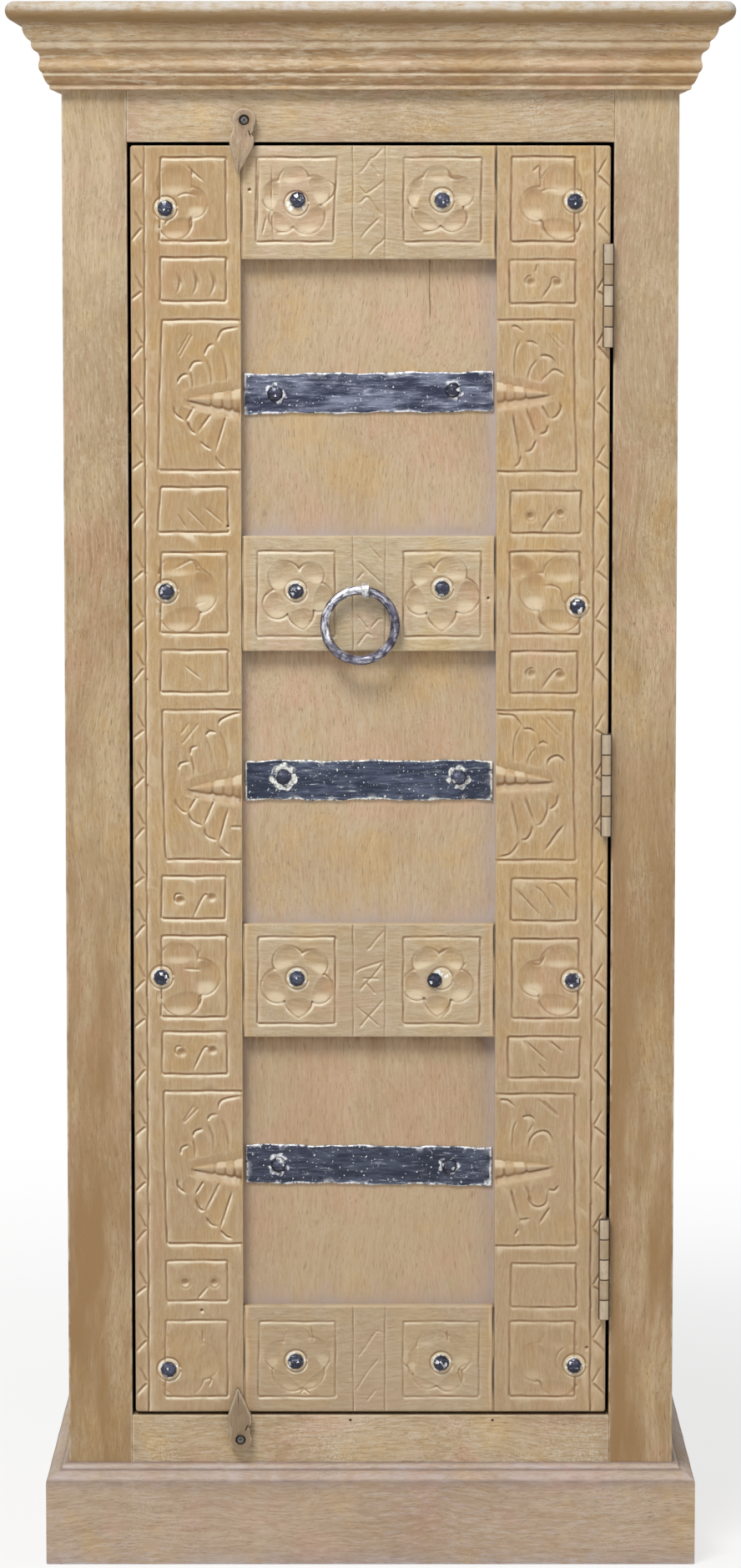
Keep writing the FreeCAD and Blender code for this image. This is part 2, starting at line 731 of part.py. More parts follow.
def hinge_leaf(level, on_door):
    """One leaf: a plate in the gap beside the door, and its own knuckles round the pin."""
    z = (level - HINGE_LENGTH / 2, level + HINGE_LENGTH / 2)
    foot = V(HINGE_X, HINGE_Y, z[0] - 1)
    up = V(0, 0, 1)
    if on_door:
        plate_x = (DOOR_HALF, DOOR_HALF + LEAF_THICKNESS)
        bore = rod(foot, up, HINGE_PIN_RADIUS + PIN_RUNNING_GAP, HINGE_LENGTH + 2)
    else:
        plate_x = (OPENING_HALF - LEAF_THICKNESS, OPENING_HALF)
        seat = HINGE_PIN_RADIUS / math.cos(math.pi / PIN_SEAT_FLATS)
        bore = faceted_bar(foot, up, [(0, seat), (HINGE_LENGTH + 2, seat)], PIN_SEAT_FLATS)
    leaf = block(plate_x, (HINGE_Y, FACE + LEAF_DEPTH), z)
    own = []
    others = []
    for index in range(KNUCKLES):
        low, high = knuckle_span(level, index)
        if (index % 2 == 1) == on_door:
            own.append(knuckle(low + KNUCKLE_GAP / 2, high - KNUCKLE_GAP / 2, KNUCKLE_RADIUS))
        else:
            others.append(knuckle(low - KNUCKLE_GAP / 2, high + KNUCKLE_GAP / 2,
                                  KNUCKLE_RADIUS + LEAF_CLEARANCE))
    leaf = leaf.cut(others).fuse(own)
    return leaf.cut([bore] + hinge_screw_holes(level, on_door))


def hinge_screw(level, offset, on_door):
    """A countersunk screw through a leaf into the edge of the wood beside it."""
    way = -1 if on_door else 1
    surface = DOOR_HALF + LEAF_THICKNESS if on_door else OPENING_HALF - LEAF_THICKNESS
    centre = V(surface, FACE + LEAF_DEPTH * 0.55, level + offset)
    levels = [
        (0, HINGE_SCREW_HEAD),
        (LEAF_THICKNESS, HINGE_SCREW_RADIUS),
        (LEAF_THICKNESS + HINGE_SCREW_LENGTH, HINGE_SCREW_RADIUS),
    ]
    return faceted_bar(centre, V(way, 0, 0), levels, HINGE_SCREW_FLATS)


def hinge_screw_holes(level, on_door):
    return [hinge_screw(level, offset, on_door) for offset in HINGE_SCREW_OFFSETS]


def hinge_screws(on_door):
    screws = []
    for level in HINGE_LEVELS:
        screws += hinge_screw_holes(level, on_door)
    return Part.makeCompound(screws)


def hinge_pin(level):
    return rod(V(HINGE_X, HINGE_Y, level - HINGE_LENGTH / 2), V(0, 0, 1), HINGE_PIN_RADIUS, HINGE_LENGTH)


# Turn buttons

def button_outline(pivot, reach, y):
    """A leaf shape: a round eye, a nicked waist, a wider belly and a straight taper to a point."""
    x, z = pivot

    def place(out, along):
        return V(x + out, y, z + along * reach / BUTTON_REACH)

    points = [place(-BUTTON_WAIST, -6.0)]
    points += flat_cuts(points[-1], place(0, BUTTON_EYE_RADIUS), place(BUTTON_WAIST, -6.0), EYE_FLATS)
    points.append(place(BUTTON_WAIST - 0.4, -11.0))
    points += flat_cuts(points[-1], place(BUTTON_BELLY, -17.0), place(BUTTON_WAIST, -24.0), BELLY_FLATS)
    points.append(place(1.2, -BUTTON_REACH))
    points.append(place(-1.2, -BUTTON_REACH))
    points.append(place(-BUTTON_WAIST, -24.0))
    points += flat_cuts(points[-1], place(-BUTTON_BELLY, -17.0), place(-BUTTON_WAIST + 0.4, -11.0),
                        BELLY_FLATS)
    return polygon_face(points)


def turn_button(name):
    """A wooden turn button: bored for its screw, and counterbored for the screw's head."""
    x, z = BUTTON_PIVOTS[name]
    back = FACE - BUTTON_GAP
    reach = BUTTON_REACH if name == "top" else -BUTTON_REACH
    leaf = button_outline((x, z), reach, back).extrude(V(0, -BUTTON_THICKNESS, 0))
    leaf.rotate(V(x, 0, z), V(0, 1, 0), BUTTON_TILT[name])
    front = V(x, back - BUTTON_THICKNESS, z)
    into = V(0, 1, 0)
    hole = rod(front, into, BUTTON_SCREW_RADIUS + BUTTON_HOLE_GAP, BUTTON_THICKNESS)
    counterbore = faceted_bar(front, into, [(0, COUNTERBORE_RADIUS), (COUNTERBORE_DEPTH, COUNTERBORE_RADIUS)],
                              COUNTERBORE_FLATS)
    return leaf.cut([hole, counterbore])


def turn_button_screws():
    """Two screws whose heads sit in the counterbores and hold the buttons just free to turn."""
    seat = FACE - 2 * BUTTON_GAP - BUTTON_THICKNESS + COUNTERBORE_DEPTH
    levels = [
        (-BUTTON_SCREW_LENGTH, BUTTON_SCREW_RADIUS),
        (0, BUTTON_SCREW_RADIUS),
        (0, BUTTON_SCREW_HEAD_RADIUS),
        (BUTTON_SCREW_HEAD_HEIGHT - BUTTON_SCREW_HEAD_ROUND, BUTTON_SCREW_HEAD_RADIUS),
        (BUTTON_SCREW_HEAD_HEIGHT, BUTTON_SCREW_HEAD_RADIUS - BUTTON_SCREW_HEAD_ROUND),
    ]
    screws = [faceted_bar(V(x, seat, z), V(0, -1, 0), levels, BUTTON_SCREW_FLATS)
              for x, z in BUTTON_PIVOTS.values()]
    return Part.makeCompound(screws)


def all_nodes():
    nodes = {
        "top_plate": top_plate(),
        "back_panel": back_panel(),
        "bottom_board": bottom_board(),
        "base_rail_back": base_rail_back(),
        "frame_rail_top": frame_rail(OPENING_TOP, PLATE_BOTTOM),
        "frame_rail_bottom": frame_rail(FRAME_RAIL_FOOT, OPENING_BOTTOM),
        "door_nails": door_nails(),
        "strap_nails": strap_nails(),
        "ring_handle": ring_handle(),
        "ring_staple": ring_staple(),
        "hinge_screws_frame": hinge_screws(False),
        "hinge_screws_door": hinge_screws(True),
        "turn_button_screws": turn_button_screws(),
    }
    for side in ("front", "left", "right"):
        nodes["cornice_" + side] = mitred_length(cornice_profile, side, CORNICE_REACH)
        nodes["plinth_" + side] = mitred_length(plinth_profile, side, PLINTH_PROUD)
    for side in ("left", "right"):
        nodes["side_panel_" + side] = side_panel(side)
        nodes["frame_stile_" + side] = frame_stile(side)
        nodes["bottom_bearer_" + side] = bottom_bearer(side)
        nodes["door_stile_" + side] = door_stile(side)
    for level in SHELF_TOPS:
        nodes["shelf_" + level] = shelf(level)
        for side in ("left", "right"):
            nodes["shelf_cleat_" + level + "_" + side] = shelf_cleat(level, side)
    for name in RAILS:
        nodes["door_rail_" + name] = door_rail(name)
    for name in PANELS:
        nodes["door_panel_" + name] = door_panel(name)
        nodes["iron_strap_" + name] = iron_strap(name)
    for index, level in enumerate(HINGE_LEVELS, 1):
        nodes["hinge_frame_leaf_%d" % index] = hinge_leaf(level, False)
        nodes["hinge_door_leaf_%d" % index] = hinge_leaf(level, True)
        nodes["hinge_pin_%d" % index] = hinge_pin(level)
    for name in BUTTON_PIVOTS:
        nodes["turn_button_" + name] = turn_button(name)
    return nodes


os.makedirs("parts", exist_ok=True)
for node, shape in all_nodes().items():
    shape.exportStep("parts/" + node + ".step")
    print(node, len(shape.Solids), "solid", "valid" if shape.isValid() else "INVALID", round(shape.Volume))
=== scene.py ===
import math
import bmesh
import bpy
import numpy as np
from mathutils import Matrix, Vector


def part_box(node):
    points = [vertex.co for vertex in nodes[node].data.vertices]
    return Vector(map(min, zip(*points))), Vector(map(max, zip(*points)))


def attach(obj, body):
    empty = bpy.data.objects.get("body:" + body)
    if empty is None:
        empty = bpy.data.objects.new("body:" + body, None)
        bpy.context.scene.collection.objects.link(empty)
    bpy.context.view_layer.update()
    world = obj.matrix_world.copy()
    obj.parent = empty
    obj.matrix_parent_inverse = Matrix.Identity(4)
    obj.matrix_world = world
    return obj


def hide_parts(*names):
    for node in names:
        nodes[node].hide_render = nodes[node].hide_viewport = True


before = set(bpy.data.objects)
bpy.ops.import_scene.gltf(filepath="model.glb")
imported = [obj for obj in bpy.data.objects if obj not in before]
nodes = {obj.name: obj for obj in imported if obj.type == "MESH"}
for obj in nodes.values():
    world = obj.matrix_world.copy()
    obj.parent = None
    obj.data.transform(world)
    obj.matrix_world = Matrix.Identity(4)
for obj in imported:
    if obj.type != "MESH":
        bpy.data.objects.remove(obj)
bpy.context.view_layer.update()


# Studio. A wide pale floor under a white surround, a broad soft lamp at the upper left and a weak
# one at the right. The camera stands where the photograph was taken from, a little above the door's
# middle, five paces away.

STUDIO_LIGHT = 0.36
KEY_POWER, KEY_WIDTH = 271.0, 2.3
FILL_POWER, FILL_WIDTH = 12.0, 2.0
FLOOR_RADIUS = 40.0
FLOOR_COLOUR = (0.86, 0.855, 0.845, 1)
WHITE = (1, 1, 1, 1)
CAMERA_PLACE = (0.0, -4.930, 1.198)
CAMERA_PITCH = 5.86
CAMERA_LENS = 123.2


def feed(node, inputs):
    """Gives a node's sockets, by name or number, a value or another node's output."""
    for key, value in inputs.items():
        if isinstance(value, bpy.types.NodeSocket):
            node.id_data.links.new(value, node.inputs[key])
        else:
            node.inputs[key].default_value = value


def put(place, kind, inputs=None, **settings):
    """Adds a node to a tree, or to the tree that a socket is in."""
    made = place.id_data.nodes.new(kind)
    for key, value in settings.items():
        setattr(made, key, value)
    feed(made, inputs or {})
    return made


def reckon(operation, first, second=0.0, clamp=False):
    place = first if isinstance(first, bpy.types.NodeSocket) else second
    return put(place, "ShaderNodeMath", {0: first, 1: second}, operation=operation, use_clamp=clamp).outputs[0]


def times(first, second, clamp=False):
    return reckon("MULTIPLY", first, second, clamp)


def fade(value, low, high, bottom=0.0, top=1.0):
    """A smooth step from bottom to top as value goes from low to high."""
    inputs = {"Value": value, "From Min": low, "From Max": high, "To Min": bottom, "To Max": top}
    return put(value, "ShaderNodeMapRange", inputs, interpolation_type="SMOOTHSTEP").outputs[0]


def seen_directly(tree):
    """1 for what the camera sees itself, or in a gloss or through glass."""
    path = put(tree, "ShaderNodeLightPath").outputs
    direct = reckon("MAXIMUM", path["Is Camera Ray"], path["Is Glossy Ray"])
    return reckon("MAXIMUM", direct, path["Is Transmission Ray"])


def bare_tree(holder):
    """A world's or a material's own tree, with nothing in it yet."""
    holder.use_nodes = True
    holder.node_tree.nodes.clear()
    return holder.node_tree


def stand(name, contents):
    """A new object in the scene."""
    made = bpy.data.objects.new(name, contents)
    scene.collection.objects.link(made)
    return made


scene = bpy.context.scene
scene.view_settings.view_transform = "Standard"

scene.world = bpy.data.worlds.new("white_surround")
tree = bare_tree(scene.world)
strength = fade(seen_directly(tree), 0.0, 1.0, STUDIO_LIGHT, 1.0)
sky = put(tree, "ShaderNodeBackground", {"Color": WHITE, "Strength": strength})
put(tree, "ShaderNodeOutputWorld", {"Surface": sky.outputs[0]})

pale_floor = bpy.data.materials.new("pale_floor")
tree = bare_tree(pale_floor)
middle = put(tree, "ShaderNodeTexCoord").outputs["Object"]
spread = put(tree, "ShaderNodeVectorMath", {0: middle}, operation="LENGTH").outputs["Value"]
whiteness = fade(spread, 0.5, 2.2, 0.72, 1.0)
matt = put(tree, "ShaderNodeBsdfDiffuse", {"Color": FLOOR_COLOUR})
glow = put(tree, "ShaderNodeEmission", {"Color": WHITE, "Strength": 1.0})
lit = times(seen_directly(tree), whiteness)
both = put(tree, "ShaderNodeMixShader", {0: lit, 1: matt.outputs[0], 2: glow.outputs[0]})
put(tree, "ShaderNodeOutputMaterial", {"Surface": both.outputs[0]})

outline = bmesh.new()
bmesh.ops.create_circle(outline, cap_ends=True, segments=64, radius=FLOOR_RADIUS)
floor_mesh = bpy.data.meshes.new("floor")
outline.to_mesh(floor_mesh)
outline.free()
floor_mesh.materials.append(pale_floor)
stand("floor", floor_mesh)


def soft_lamp(name, place, aim, size, power):
    """A round lamp of some metres across at place, turned towards aim."""
    lamp = bpy.data.lights.new(name, "AREA")
    lamp.shape = "DISK"
    lamp.size = size
    lamp.energy = power
    holder = stand(name, lamp)
    back = (place[0] - aim[0], place[1] - aim[1], place[2] - aim[2])
    holder.location = place
    holder.rotation_euler = (math.atan2(math.hypot(back[0], back[1]), back[2]), 0, math.atan2(back[0], -back[1]))


soft_lamp("key_lamp", (-1.5, -3.4, 5.3), (0, -0.1, 0.75), KEY_WIDTH, KEY_POWER)
soft_lamp("fill_lamp", (2.6, -2.6, 1.6), (0, -0.1, 0.7), FILL_WIDTH, FILL_POWER)

lens = bpy.data.cameras.new("photo_camera")
lens.lens = CAMERA_LENS
lens.clip_end = 100
camera = stand("photo_camera", lens)
camera.location = CAMERA_PLACE
camera.rotation_euler = (math.radians(90 - CAMERA_PITCH), 0, 0)
scene.camera = camera


# Side boards. Two planed hardwood boards that carry the whole cabinet, grain upright, stained a pale
# tan and rubbed with lime, so that the pores stay dark and the worn arrises turn pale.

MM = 0.001
GRAIN_STRETCH = 0.045
BOARD_WEAR = 0.9


def shade(red, green, blue):
    """A colour as it looks in a picture, each part from 0 to 255, in the shaders' linear values."""
    return tuple(((part / 255 + 0.055) / 1.055) ** 2.4 for part in (red, green, blue)) + (1.0,)


def blend(share, under, over, kind="MIX"):
    """over laid on under by share. Either is a socket, a picture's colour, or four linear values."""
    under, over = (shade(*tone) if isinstance(tone, tuple) and len(tone) == 3 else tone for tone in (under, over))
    made = put(share, "ShaderNodeMix", {0: share, 6: under, 7: over}, data_type="RGBA", blend_type=kind)
    return made.outputs[2]


def noise(place, scale, detail, rough=0.5, warp=0.0):
    inputs = {"Vector": place, "Scale": scale, "Detail": detail, "Roughness": rough, "Distortion": warp}
    return put(place, "ShaderNodeTexNoise", inputs).outputs[0]


def attribute(place, name):
    return put(place, "ShaderNodeAttribute", attribute_name=name).outputs["Fac"]


def mapped(place, **changes):
    """place moved, turned or stretched."""
    return put(place, "ShaderNodeMapping", dict(changes, Vector=place)).outputs[0]


def along(place, axis):
    """How far place lies along one axis, in metres."""
    return put(place, "ShaderNodeSeparateXYZ", {0: place}).outputs[axis]


def fresh_material(name):
    """A new material, and the places that its patterns follow."""
    material = bpy.data.materials.new(name)
    material.use_nodes = True
    return material, put(material.node_tree, "ShaderNodeTexCoord").outputs["Object"]


def finished(material, bumps, strength, high, **inputs):
    """material with its shader's inputs set, and its surface raised by bumps, high metres at most."""
    raised = put(bumps, "ShaderNodeBump", {"Strength": strength, "Distance": high, "Height": bumps})
    inputs = {name.replace("_", " "): value for name, value in inputs.items()}
    feed(material.node_tree.nodes["Principled BSDF"], dict(inputs, Normal=raised.outputs[0]))
    return material


def wood(name, grain, tone, deep, lime, seed, finish, figure=0.45, patches=0.5, limed=0.45, pores=0.55):
    """Limed hardwood. grain is the axis that it runs along; tone, deep and lime are its colours."""
    material, place = fresh_material(name)
    dark = tuple(0.42 * part for part in shade(*deep)[:3]) + (1.0,)
    squeeze, pore_squeeze = ([stretch if axis == grain else 1.0 for axis in "xyz"]
                             for stretch in (GRAIN_STRETCH, GRAIN_STRETCH * 2.2))
    shifted = mapped(place, Location=(seed, 1.7 * seed, -seed))
    drift = put(place, "ShaderNodeTexNoise", {"Vector": shifted, "Scale": 7.0, "Detail": 1.0}).outputs["Color"]
    sway = put(place, "ShaderNodeVectorMath", {0: drift, 1: (0.5, 0.5, 0.5)}, operation="SUBTRACT").outputs[0]
    bent = put(place, "ShaderNodeVectorMath", {0: sway, 1: (0.035, 0.035, 0.035), 2: shifted},
               operation="MULTIPLY_ADD").outputs[0]
    fibre = mapped(bent, Scale=squeeze)
    dash = mapped(bent, Scale=pore_squeeze)

    broad = fade(noise(shifted, 5.5, 3.0, 0.55), 0.38, 0.68)
    streak = fade(noise(fibre, 95.0, 4.0, 0.62, 0.6), 0.42, 0.68)
    vein = fade(noise(fibre, 380.0, 3.0, 0.6), 0.40, 0.66)
    pore = fade(noise(dash, 1150.0, 1.0, 0.5), 0.60, 0.74)
    grit = noise(shifted, 620.0, 2.0, 0.6)
    bloom = fade(noise(shifted, 21.0, 4.0, 0.6), 0.46, 0.72)
    speck = noise(dash, 640.0, 3.0, 0.75)
    hue = noise(shifted, 14.0, 4.0, 0.65)

    chalk = times(fade(grit, 0.45, 0.68), reckon("ADD", bloom, 0.25))
    colour = blend(times(broad, patches), tone, deep)
    for share, over in ((times(streak, figure), deep), (times(chalk, limed, True), lime), (times(vein, 0.22), lime),
                        (times(pore, pores), dark), (fade(speck, 0.52, 0.32, 0.0, 0.42), deep),
                        (fade(speck, 0.50, 0.70, 0.0, 0.42), lime)):
        colour = blend(share, colour, over)
    colour = blend(fade(hue, 0.5, 0.66), colour, (1.05, 0.99, 0.84, 1.0), "MULTIPLY")
    colour = blend(fade(hue, 0.5, 0.34), colour, (1.06, 0.97, 1.01, 1.0), "MULTIPLY")
    colour = finish(colour, place)
    height = reckon("ADD", reckon("SUBTRACT", times(vein, 0.35), pore), times(grit, 0.5))
    return finished(material, height, 0.35, 0.0004, Base_Color=colour, Roughness=fade(grit, 0.2, 0.8, 0.58, 0.78),
                    Specular_IOR_Level=0.32)


def keep(piece, body, slot, *stands_for):
    """Sets a finished piece on its body, and hides the CAD nodes that it stands for. slot is not used."""
    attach(piece, body)
    if stands_for:
        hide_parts(*stands_for)


def clad(mesh, material):
    mesh.materials.clear()
    mesh.materials.append(material)


def piece_from(name, mesh, material, sharp):
    """A mesh as a piece, shaded smooth up to edges of sharp degrees."""
    mesh.shade_smooth()
    mesh.set_sharp_from_angle(angle=math.radians(sharp))
    clad(mesh, material)
    return stand(name, mesh)


def paint(mesh, **values):
    """Lays values on a mesh's spots, for its material to read."""
    for label, spread in values.items():
        layer = mesh.attributes.new(label, "FLOAT", "POINT")
        layer.data.foreach_set("value", np.ravel(spread).astype(np.float32))


def near_arris(length, wear):
    """Places along one side of a board, close together where its two ends wear round."""
    close = [wear * share for share in (0.0, 0.08, 0.3, 0.62, 1.0)] + [wear + 1.6, wear + 5.0, wear + 12.0]
    close = [place for place in close if place < 0.45 * length]
    middle = np.linspace(close[-1], length - close[-1], max(2, int(length / 24)) + 1)[1:-1]
    return np.array(close + list(middle) + [length - place for place in close[::-1]])


def swept(name, rings, material, **values):
    """A closed bar through a row of equal outlines. values are painted on it, one for each point."""
    rings = np.array(rings, float)
    count, sides = rings.shape[:2]
    index = np.arange(count * sides).reshape(count, sides)
    after = np.roll(index, -1, axis=1)
    walls = np.stack([index[:-1], after[:-1], after[1:], index[1:]], -1).reshape(-1, 4).tolist()
    mesh = bpy.data.meshes.new(name)
    mesh.from_pydata((rings.reshape(-1, 3) * MM).tolist(), [], walls + [index[0, ::-1].tolist(), index[-1].tolist()])
    shape = bmesh.new()
    shape.from_mesh(mesh)
    bmesh.ops.triangulate(shape, faces=[face for face in shape.faces if len(face.verts) > 4])
    bmesh.ops.recalc_face_normals(shape, faces=shape.faces)
    shape.to_mesh(mesh)
    shape.free()
    paint(mesh, **{label: np.broadcast_to(spread, (count, sides)) for label, spread in values.items()})
    return piece_from(name, mesh, material, 38)


def planed_board(name, low, high, grain, material, wear=0.9, wander=0.18):
    """A sawn and planed board from corner low to corner high, in mm, its arrises worn round."""
    axis = "xyz".index(grain)
    others = [side for side in range(3) if side != axis]
    spans = [high[side] - low[side] for side in range(3)]
    wear = min(wear, 0.3 * min(spans))
    lengthwise = near_arris(spans[axis], wear)
    across, deep = (near_arris(spans[side], wear) for side in others)
    spots = []
    for run, fixed, flip in ((across, 0.0, False), (deep, spans[others[0]], True),
                             (across[::-1], spans[others[1]], False), (deep[::-1], 0.0, True)):
        spots += [(fixed, spot) if flip else (spot, fixed) for spot in run[:-1]]
    spots = np.array(spots)
    sizes = np.array([spans[side] for side in others])
    margin = np.minimum(spots, sizes - spots)
    into = np.clip(wear - margin, 0, wear)
    round_in = wear - np.sqrt(wear * wear - into ** 2)
    toward = np.sign(sizes / 2 - spots)
    edge_gap = margin.max(axis=1)
    rounded = spots + toward * np.where(margin < 1e-6, round_in[:, ::-1], 0.0)
    rings, wears, edges = [], [], []
    for place in lengthwise:
        end_gap = min(place, spans[axis] - place)
        end_in = wear - math.sqrt(max(wear * wear - max(wear - end_gap, 0) ** 2, 0))
        drift = wander * np.sin(place * 0.019 + spots.sum(axis=1) * 0.013 + low[0] * 0.7)
        held = np.clip(rounded, end_in, sizes - end_in)
        inward = np.where((margin < 1e-6) & (spots != np.clip(spots, 1, sizes - 1)), 1.0, 0.0)
        held = held + toward * inward * np.abs(drift)[:, None] * min(1.0, end_gap / 12)
        ring = np.empty((len(spots), 3))
        ring[:, axis] = low[axis] + place
        for column, side in enumerate(others):
            ring[:, side] = low[side] + held[:, column]
        nearest_arris = np.minimum(edge_gap, end_gap)
        rings.append(ring)
        wears.append(np.clip(1 - nearest_arris / (wear + 1.8), 0, 1))
        edges.append(np.clip(1 - nearest_arris / 14.0, 0, 1))
    return swept(name, rings, material, wear=np.array(wears), margin=np.array(edges))


def node_corners(node):
    low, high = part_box(node)
    return [part / MM for part in low], [part / MM for part in high]


def worn_edges(pale, dusk, dusk_tone=(120, 92, 70)):
    """A finish rubbed pale on the arrises, and a little darker in a band next to them."""
    def finish(colour, place):
        patchy = fade(noise(place, 42.0, 3.0, 0.65), 0.35, 0.62)
        rubbed = times(fade(attribute(place, "wear"), 0.2, 0.95), patchy)
        near = times(attribute(place, "margin"), fade(noise(place, 17.0, 4.0), 0.3, 0.7))
        colour = blend(times(near, dusk), colour, dusk_tone)
        return blend(times(rubbed, pale), colour, (224, 212, 188))
    return finish


side_wood = wood("side_board_wood", "z", (184, 160, 126), (150, 120, 84), (210, 198, 178), 3.1,
                 finish=worn_edges(0.5, 0.3))
for side in ("left", "right"):
    board = planed_board("side_board_" + side, *node_corners("side_panel_" + side), "z", side_wood, BOARD_WEAR)
    keep(board, "cabinet", "carcass_wood", "side_panel_" + side)


# Inside and underneath. A thin back let into rebates, the bottom board on two bearers and a back
# rail, and three loose shelves, each resting on a pair of cleats screwed to the side boards.

inside_upright = wood("inside_upright_wood", "z", (172, 146, 108), (142, 110, 74), (196, 180, 152), 5.3,
                      limed=0.25, pores=0.6, finish=worn_edges(0.3, 0.5))
inside_level = wood("inside_level_wood", "x", (176, 150, 112), (144, 112, 76), (198, 182, 154), 8.9,
                    limed=0.25, pores=0.6, finish=worn_edges(0.35, 0.5))
inside_deep = wood("inside_deep_wood", "y", (168, 140, 102), (138, 106, 72), (192, 176, 148), 9.7,
                   limed=0.2, pores=0.6, finish=worn_edges(0.3, 0.5))


def fit_inside(name, node, grain, material, wear):
    """A board inside, planed to its node's own box."""
    keep(planed_board(name, *node_corners(node), grain, material, wear), "cabinet", "inside_wood", node)


fit_inside("back_board", "back_panel", "z", inside_upright, 0.6)
for node in ("bottom_board", "base_rail_back", "shelf_lower", "shelf_middle", "shelf_upper"):
    fit_inside(node + "_planed", node, "x", inside_level, 1.1)
for held in ("bottom_bearer_", "shelf_cleat_lower_", "shelf_cleat_middle_", "shelf_cleat_upper_"):
    for side in ("left", "right"):
        fit_inside(held + side + "_planed", held + side, "y", inside_deep, 1.0)


# Face frame. Two stiles from the floor to the top board and two rails tenoned between them, planed
# flush, limed and then waxed. The stiles are painted darker and browner towards the floor and a little
# lighter at the top, as painted shade and painted light from the lamp above.

FRAME_FRONT, FRAME_INSIDE = -153.0, -129.0
BODY_HALF, OPENING_HALF = 273.0, 215.5
FRAME_HEIGHT = 1382.0
RAIL_LEVELS = {"frame_rail_top": (1278.2, FRAME_HEIGHT), "frame_rail_bottom": (55.0, 133.0)}
NAIL_HOLES = ((-18.2, 128.6), (110.4, 128.4))


def shaded_downwards(colour, place):
    """Darker and browner towards the floor, in tall soft streaks, and a little lighter at the top: painted shade and
    painted light from the lamp above.
    """
    height = along(place, "Z")
    tall = mapped(place, Scale=(1.0, 1.0, 0.16))
    streaks = fade(noise(tall, 34.0, 3.0, 0.6), 0.38, 0.66)
    down = times(fade(height, 1.15, 0.35), reckon("ADD", streaks, 0.45))
    colour = blend(fade(height, 0.9, 1.1, 0.0, 0.2), colour, (206, 190, 164))
    return blend(times(down, 0.7, True), colour, (150, 118, 80))


frame_edges = worn_edges(0.55, 0.35, (132, 104, 78))


def stile_finish(colour, place):
    return frame_edges(shaded_downwards(colour, place), place)


frame_upright = wood("frame_upright_wood", "z", (190, 167, 132), (148, 119, 80), (210, 196, 170), 2.3,
                     figure=0.5, patches=0.8, limed=0.35, pores=0.65, finish=stile_finish)


def rail_finish(colour, place):
    """Worn edges, and two small nail holes under the door, not cut but painted as dark spots: painted shade."""
    colour = frame_edges(colour, place)
    for x, z in NAIL_HOLES:
        hole = (x * MM, FRAME_FRONT * MM, z * MM)
        gap = put(place, "ShaderNodeVectorMath", {0: place, 1: hole}, operation="DISTANCE").outputs["Value"]
        colour = blend(fade(gap, 0.0016, 0.0009), colour, (64, 40, 36))
    return colour


frame_level = wood("frame_level_wood", "x", (186, 163, 130), (156, 130, 94), (218, 208, 190), 6.1,
                   figure=0.4, limed=0.6, pores=0.5, finish=rail_finish)
for side, left, right in (("left", -BODY_HALF, -OPENING_HALF), ("right", OPENING_HALF, BODY_HALF)):
    stile = planed_board("frame_stile_planed_" + side, (left, FRAME_FRONT, 0.0), (right, FRAME_INSIDE, FRAME_HEIGHT),
                         "z", frame_upright, 1.3)
    keep(stile, "cabinet", "carcass_wood", "frame_stile_" + side)
for node, (low, high) in RAIL_LEVELS.items():
    rail = planed_board(node + "_planed", (-OPENING_HALF, FRAME_FRONT, low), (OPENING_HALF, FRAME_INSIDE, high),
                        "x", frame_level)
    keep(rail, "cabinet", "carcass_wood", node)


# Cornice and plinth. Each is three lengths of moulding, run with a plane along solid wood, mitred at
# the corners, glued and pinned to the frame and the side boards.

BACK = 200.0
CORNICE_FOOT = 1324.0
# Each spot of a profile: how far out, how high, how pale, for wear and a painted highlight where it
# faces up, and how brown, for dirt and painted shade under each step.
CORNICE = [(0, 0, 0, 0.8), (9, 0, 0, 0.5), (9.6, 0.5, 0.6, 0), (9.9, 1.6, 0.3, 0), (9.9, 3.4, 0.3, 0.1),
    (10.3, 4.1, 0, 1), (11.2, 4.6, 0, 1.3), (12.3, 5.8, 0, 1.2), (13.4, 7.6, 0, 1.1), (14.3, 9.6, 0, 1.1),
    (14.9, 11.3, 0, 1.1), (15.3, 11.9, 0.5, 0.3), (15.7, 12.5, 1, 0), (15.7, 13.7, 0.7, 0), (15.9, 14.6, 0, 1.2),
    (16.7, 15.2, 0, 1.5), (17.9, 16.4, 0, 1.1), (18.6, 18.2, 0, 0.9), (18.9, 20.2, 0.2, 0.55), (18.8, 22.2, 0.35, 0.4),
    (18.4, 24, 0.4, 0.3), (18, 25.2, 0.3, 0.5), (17.8, 26.6, 0, 0.7), (17.9, 28.6, 0, 0.5), (18.4, 30.4, 0, 0.5),
    (19.4, 31.9, 0, 0.6), (20.8, 32.8, 0, 0.9), (22.4, 33.7, 0, 0.9), (23.8, 35.1, 0.1, 0.8), (24.7, 36.9, 0.5, 0.25),
    (25.1, 38.8, 0.8, 0.12), (24.9, 40.4, 0.7, 0.1), (25, 41.3, 0.2, 0.8), (25.9, 42.2, 0, 1), (27.4, 43.2, 0.5, 0.2),
    (29, 44.8, 0.3, 0), (30.5, 47, 0.1, 0), (31.6, 49.6, 0.1, 0.05), (32.2, 52.4, 0, 0.2), (32.4, 55.2, 0, 0.5),
    (32.4, 58, 0, 0.8), (0, 58, 0, 0.8)]
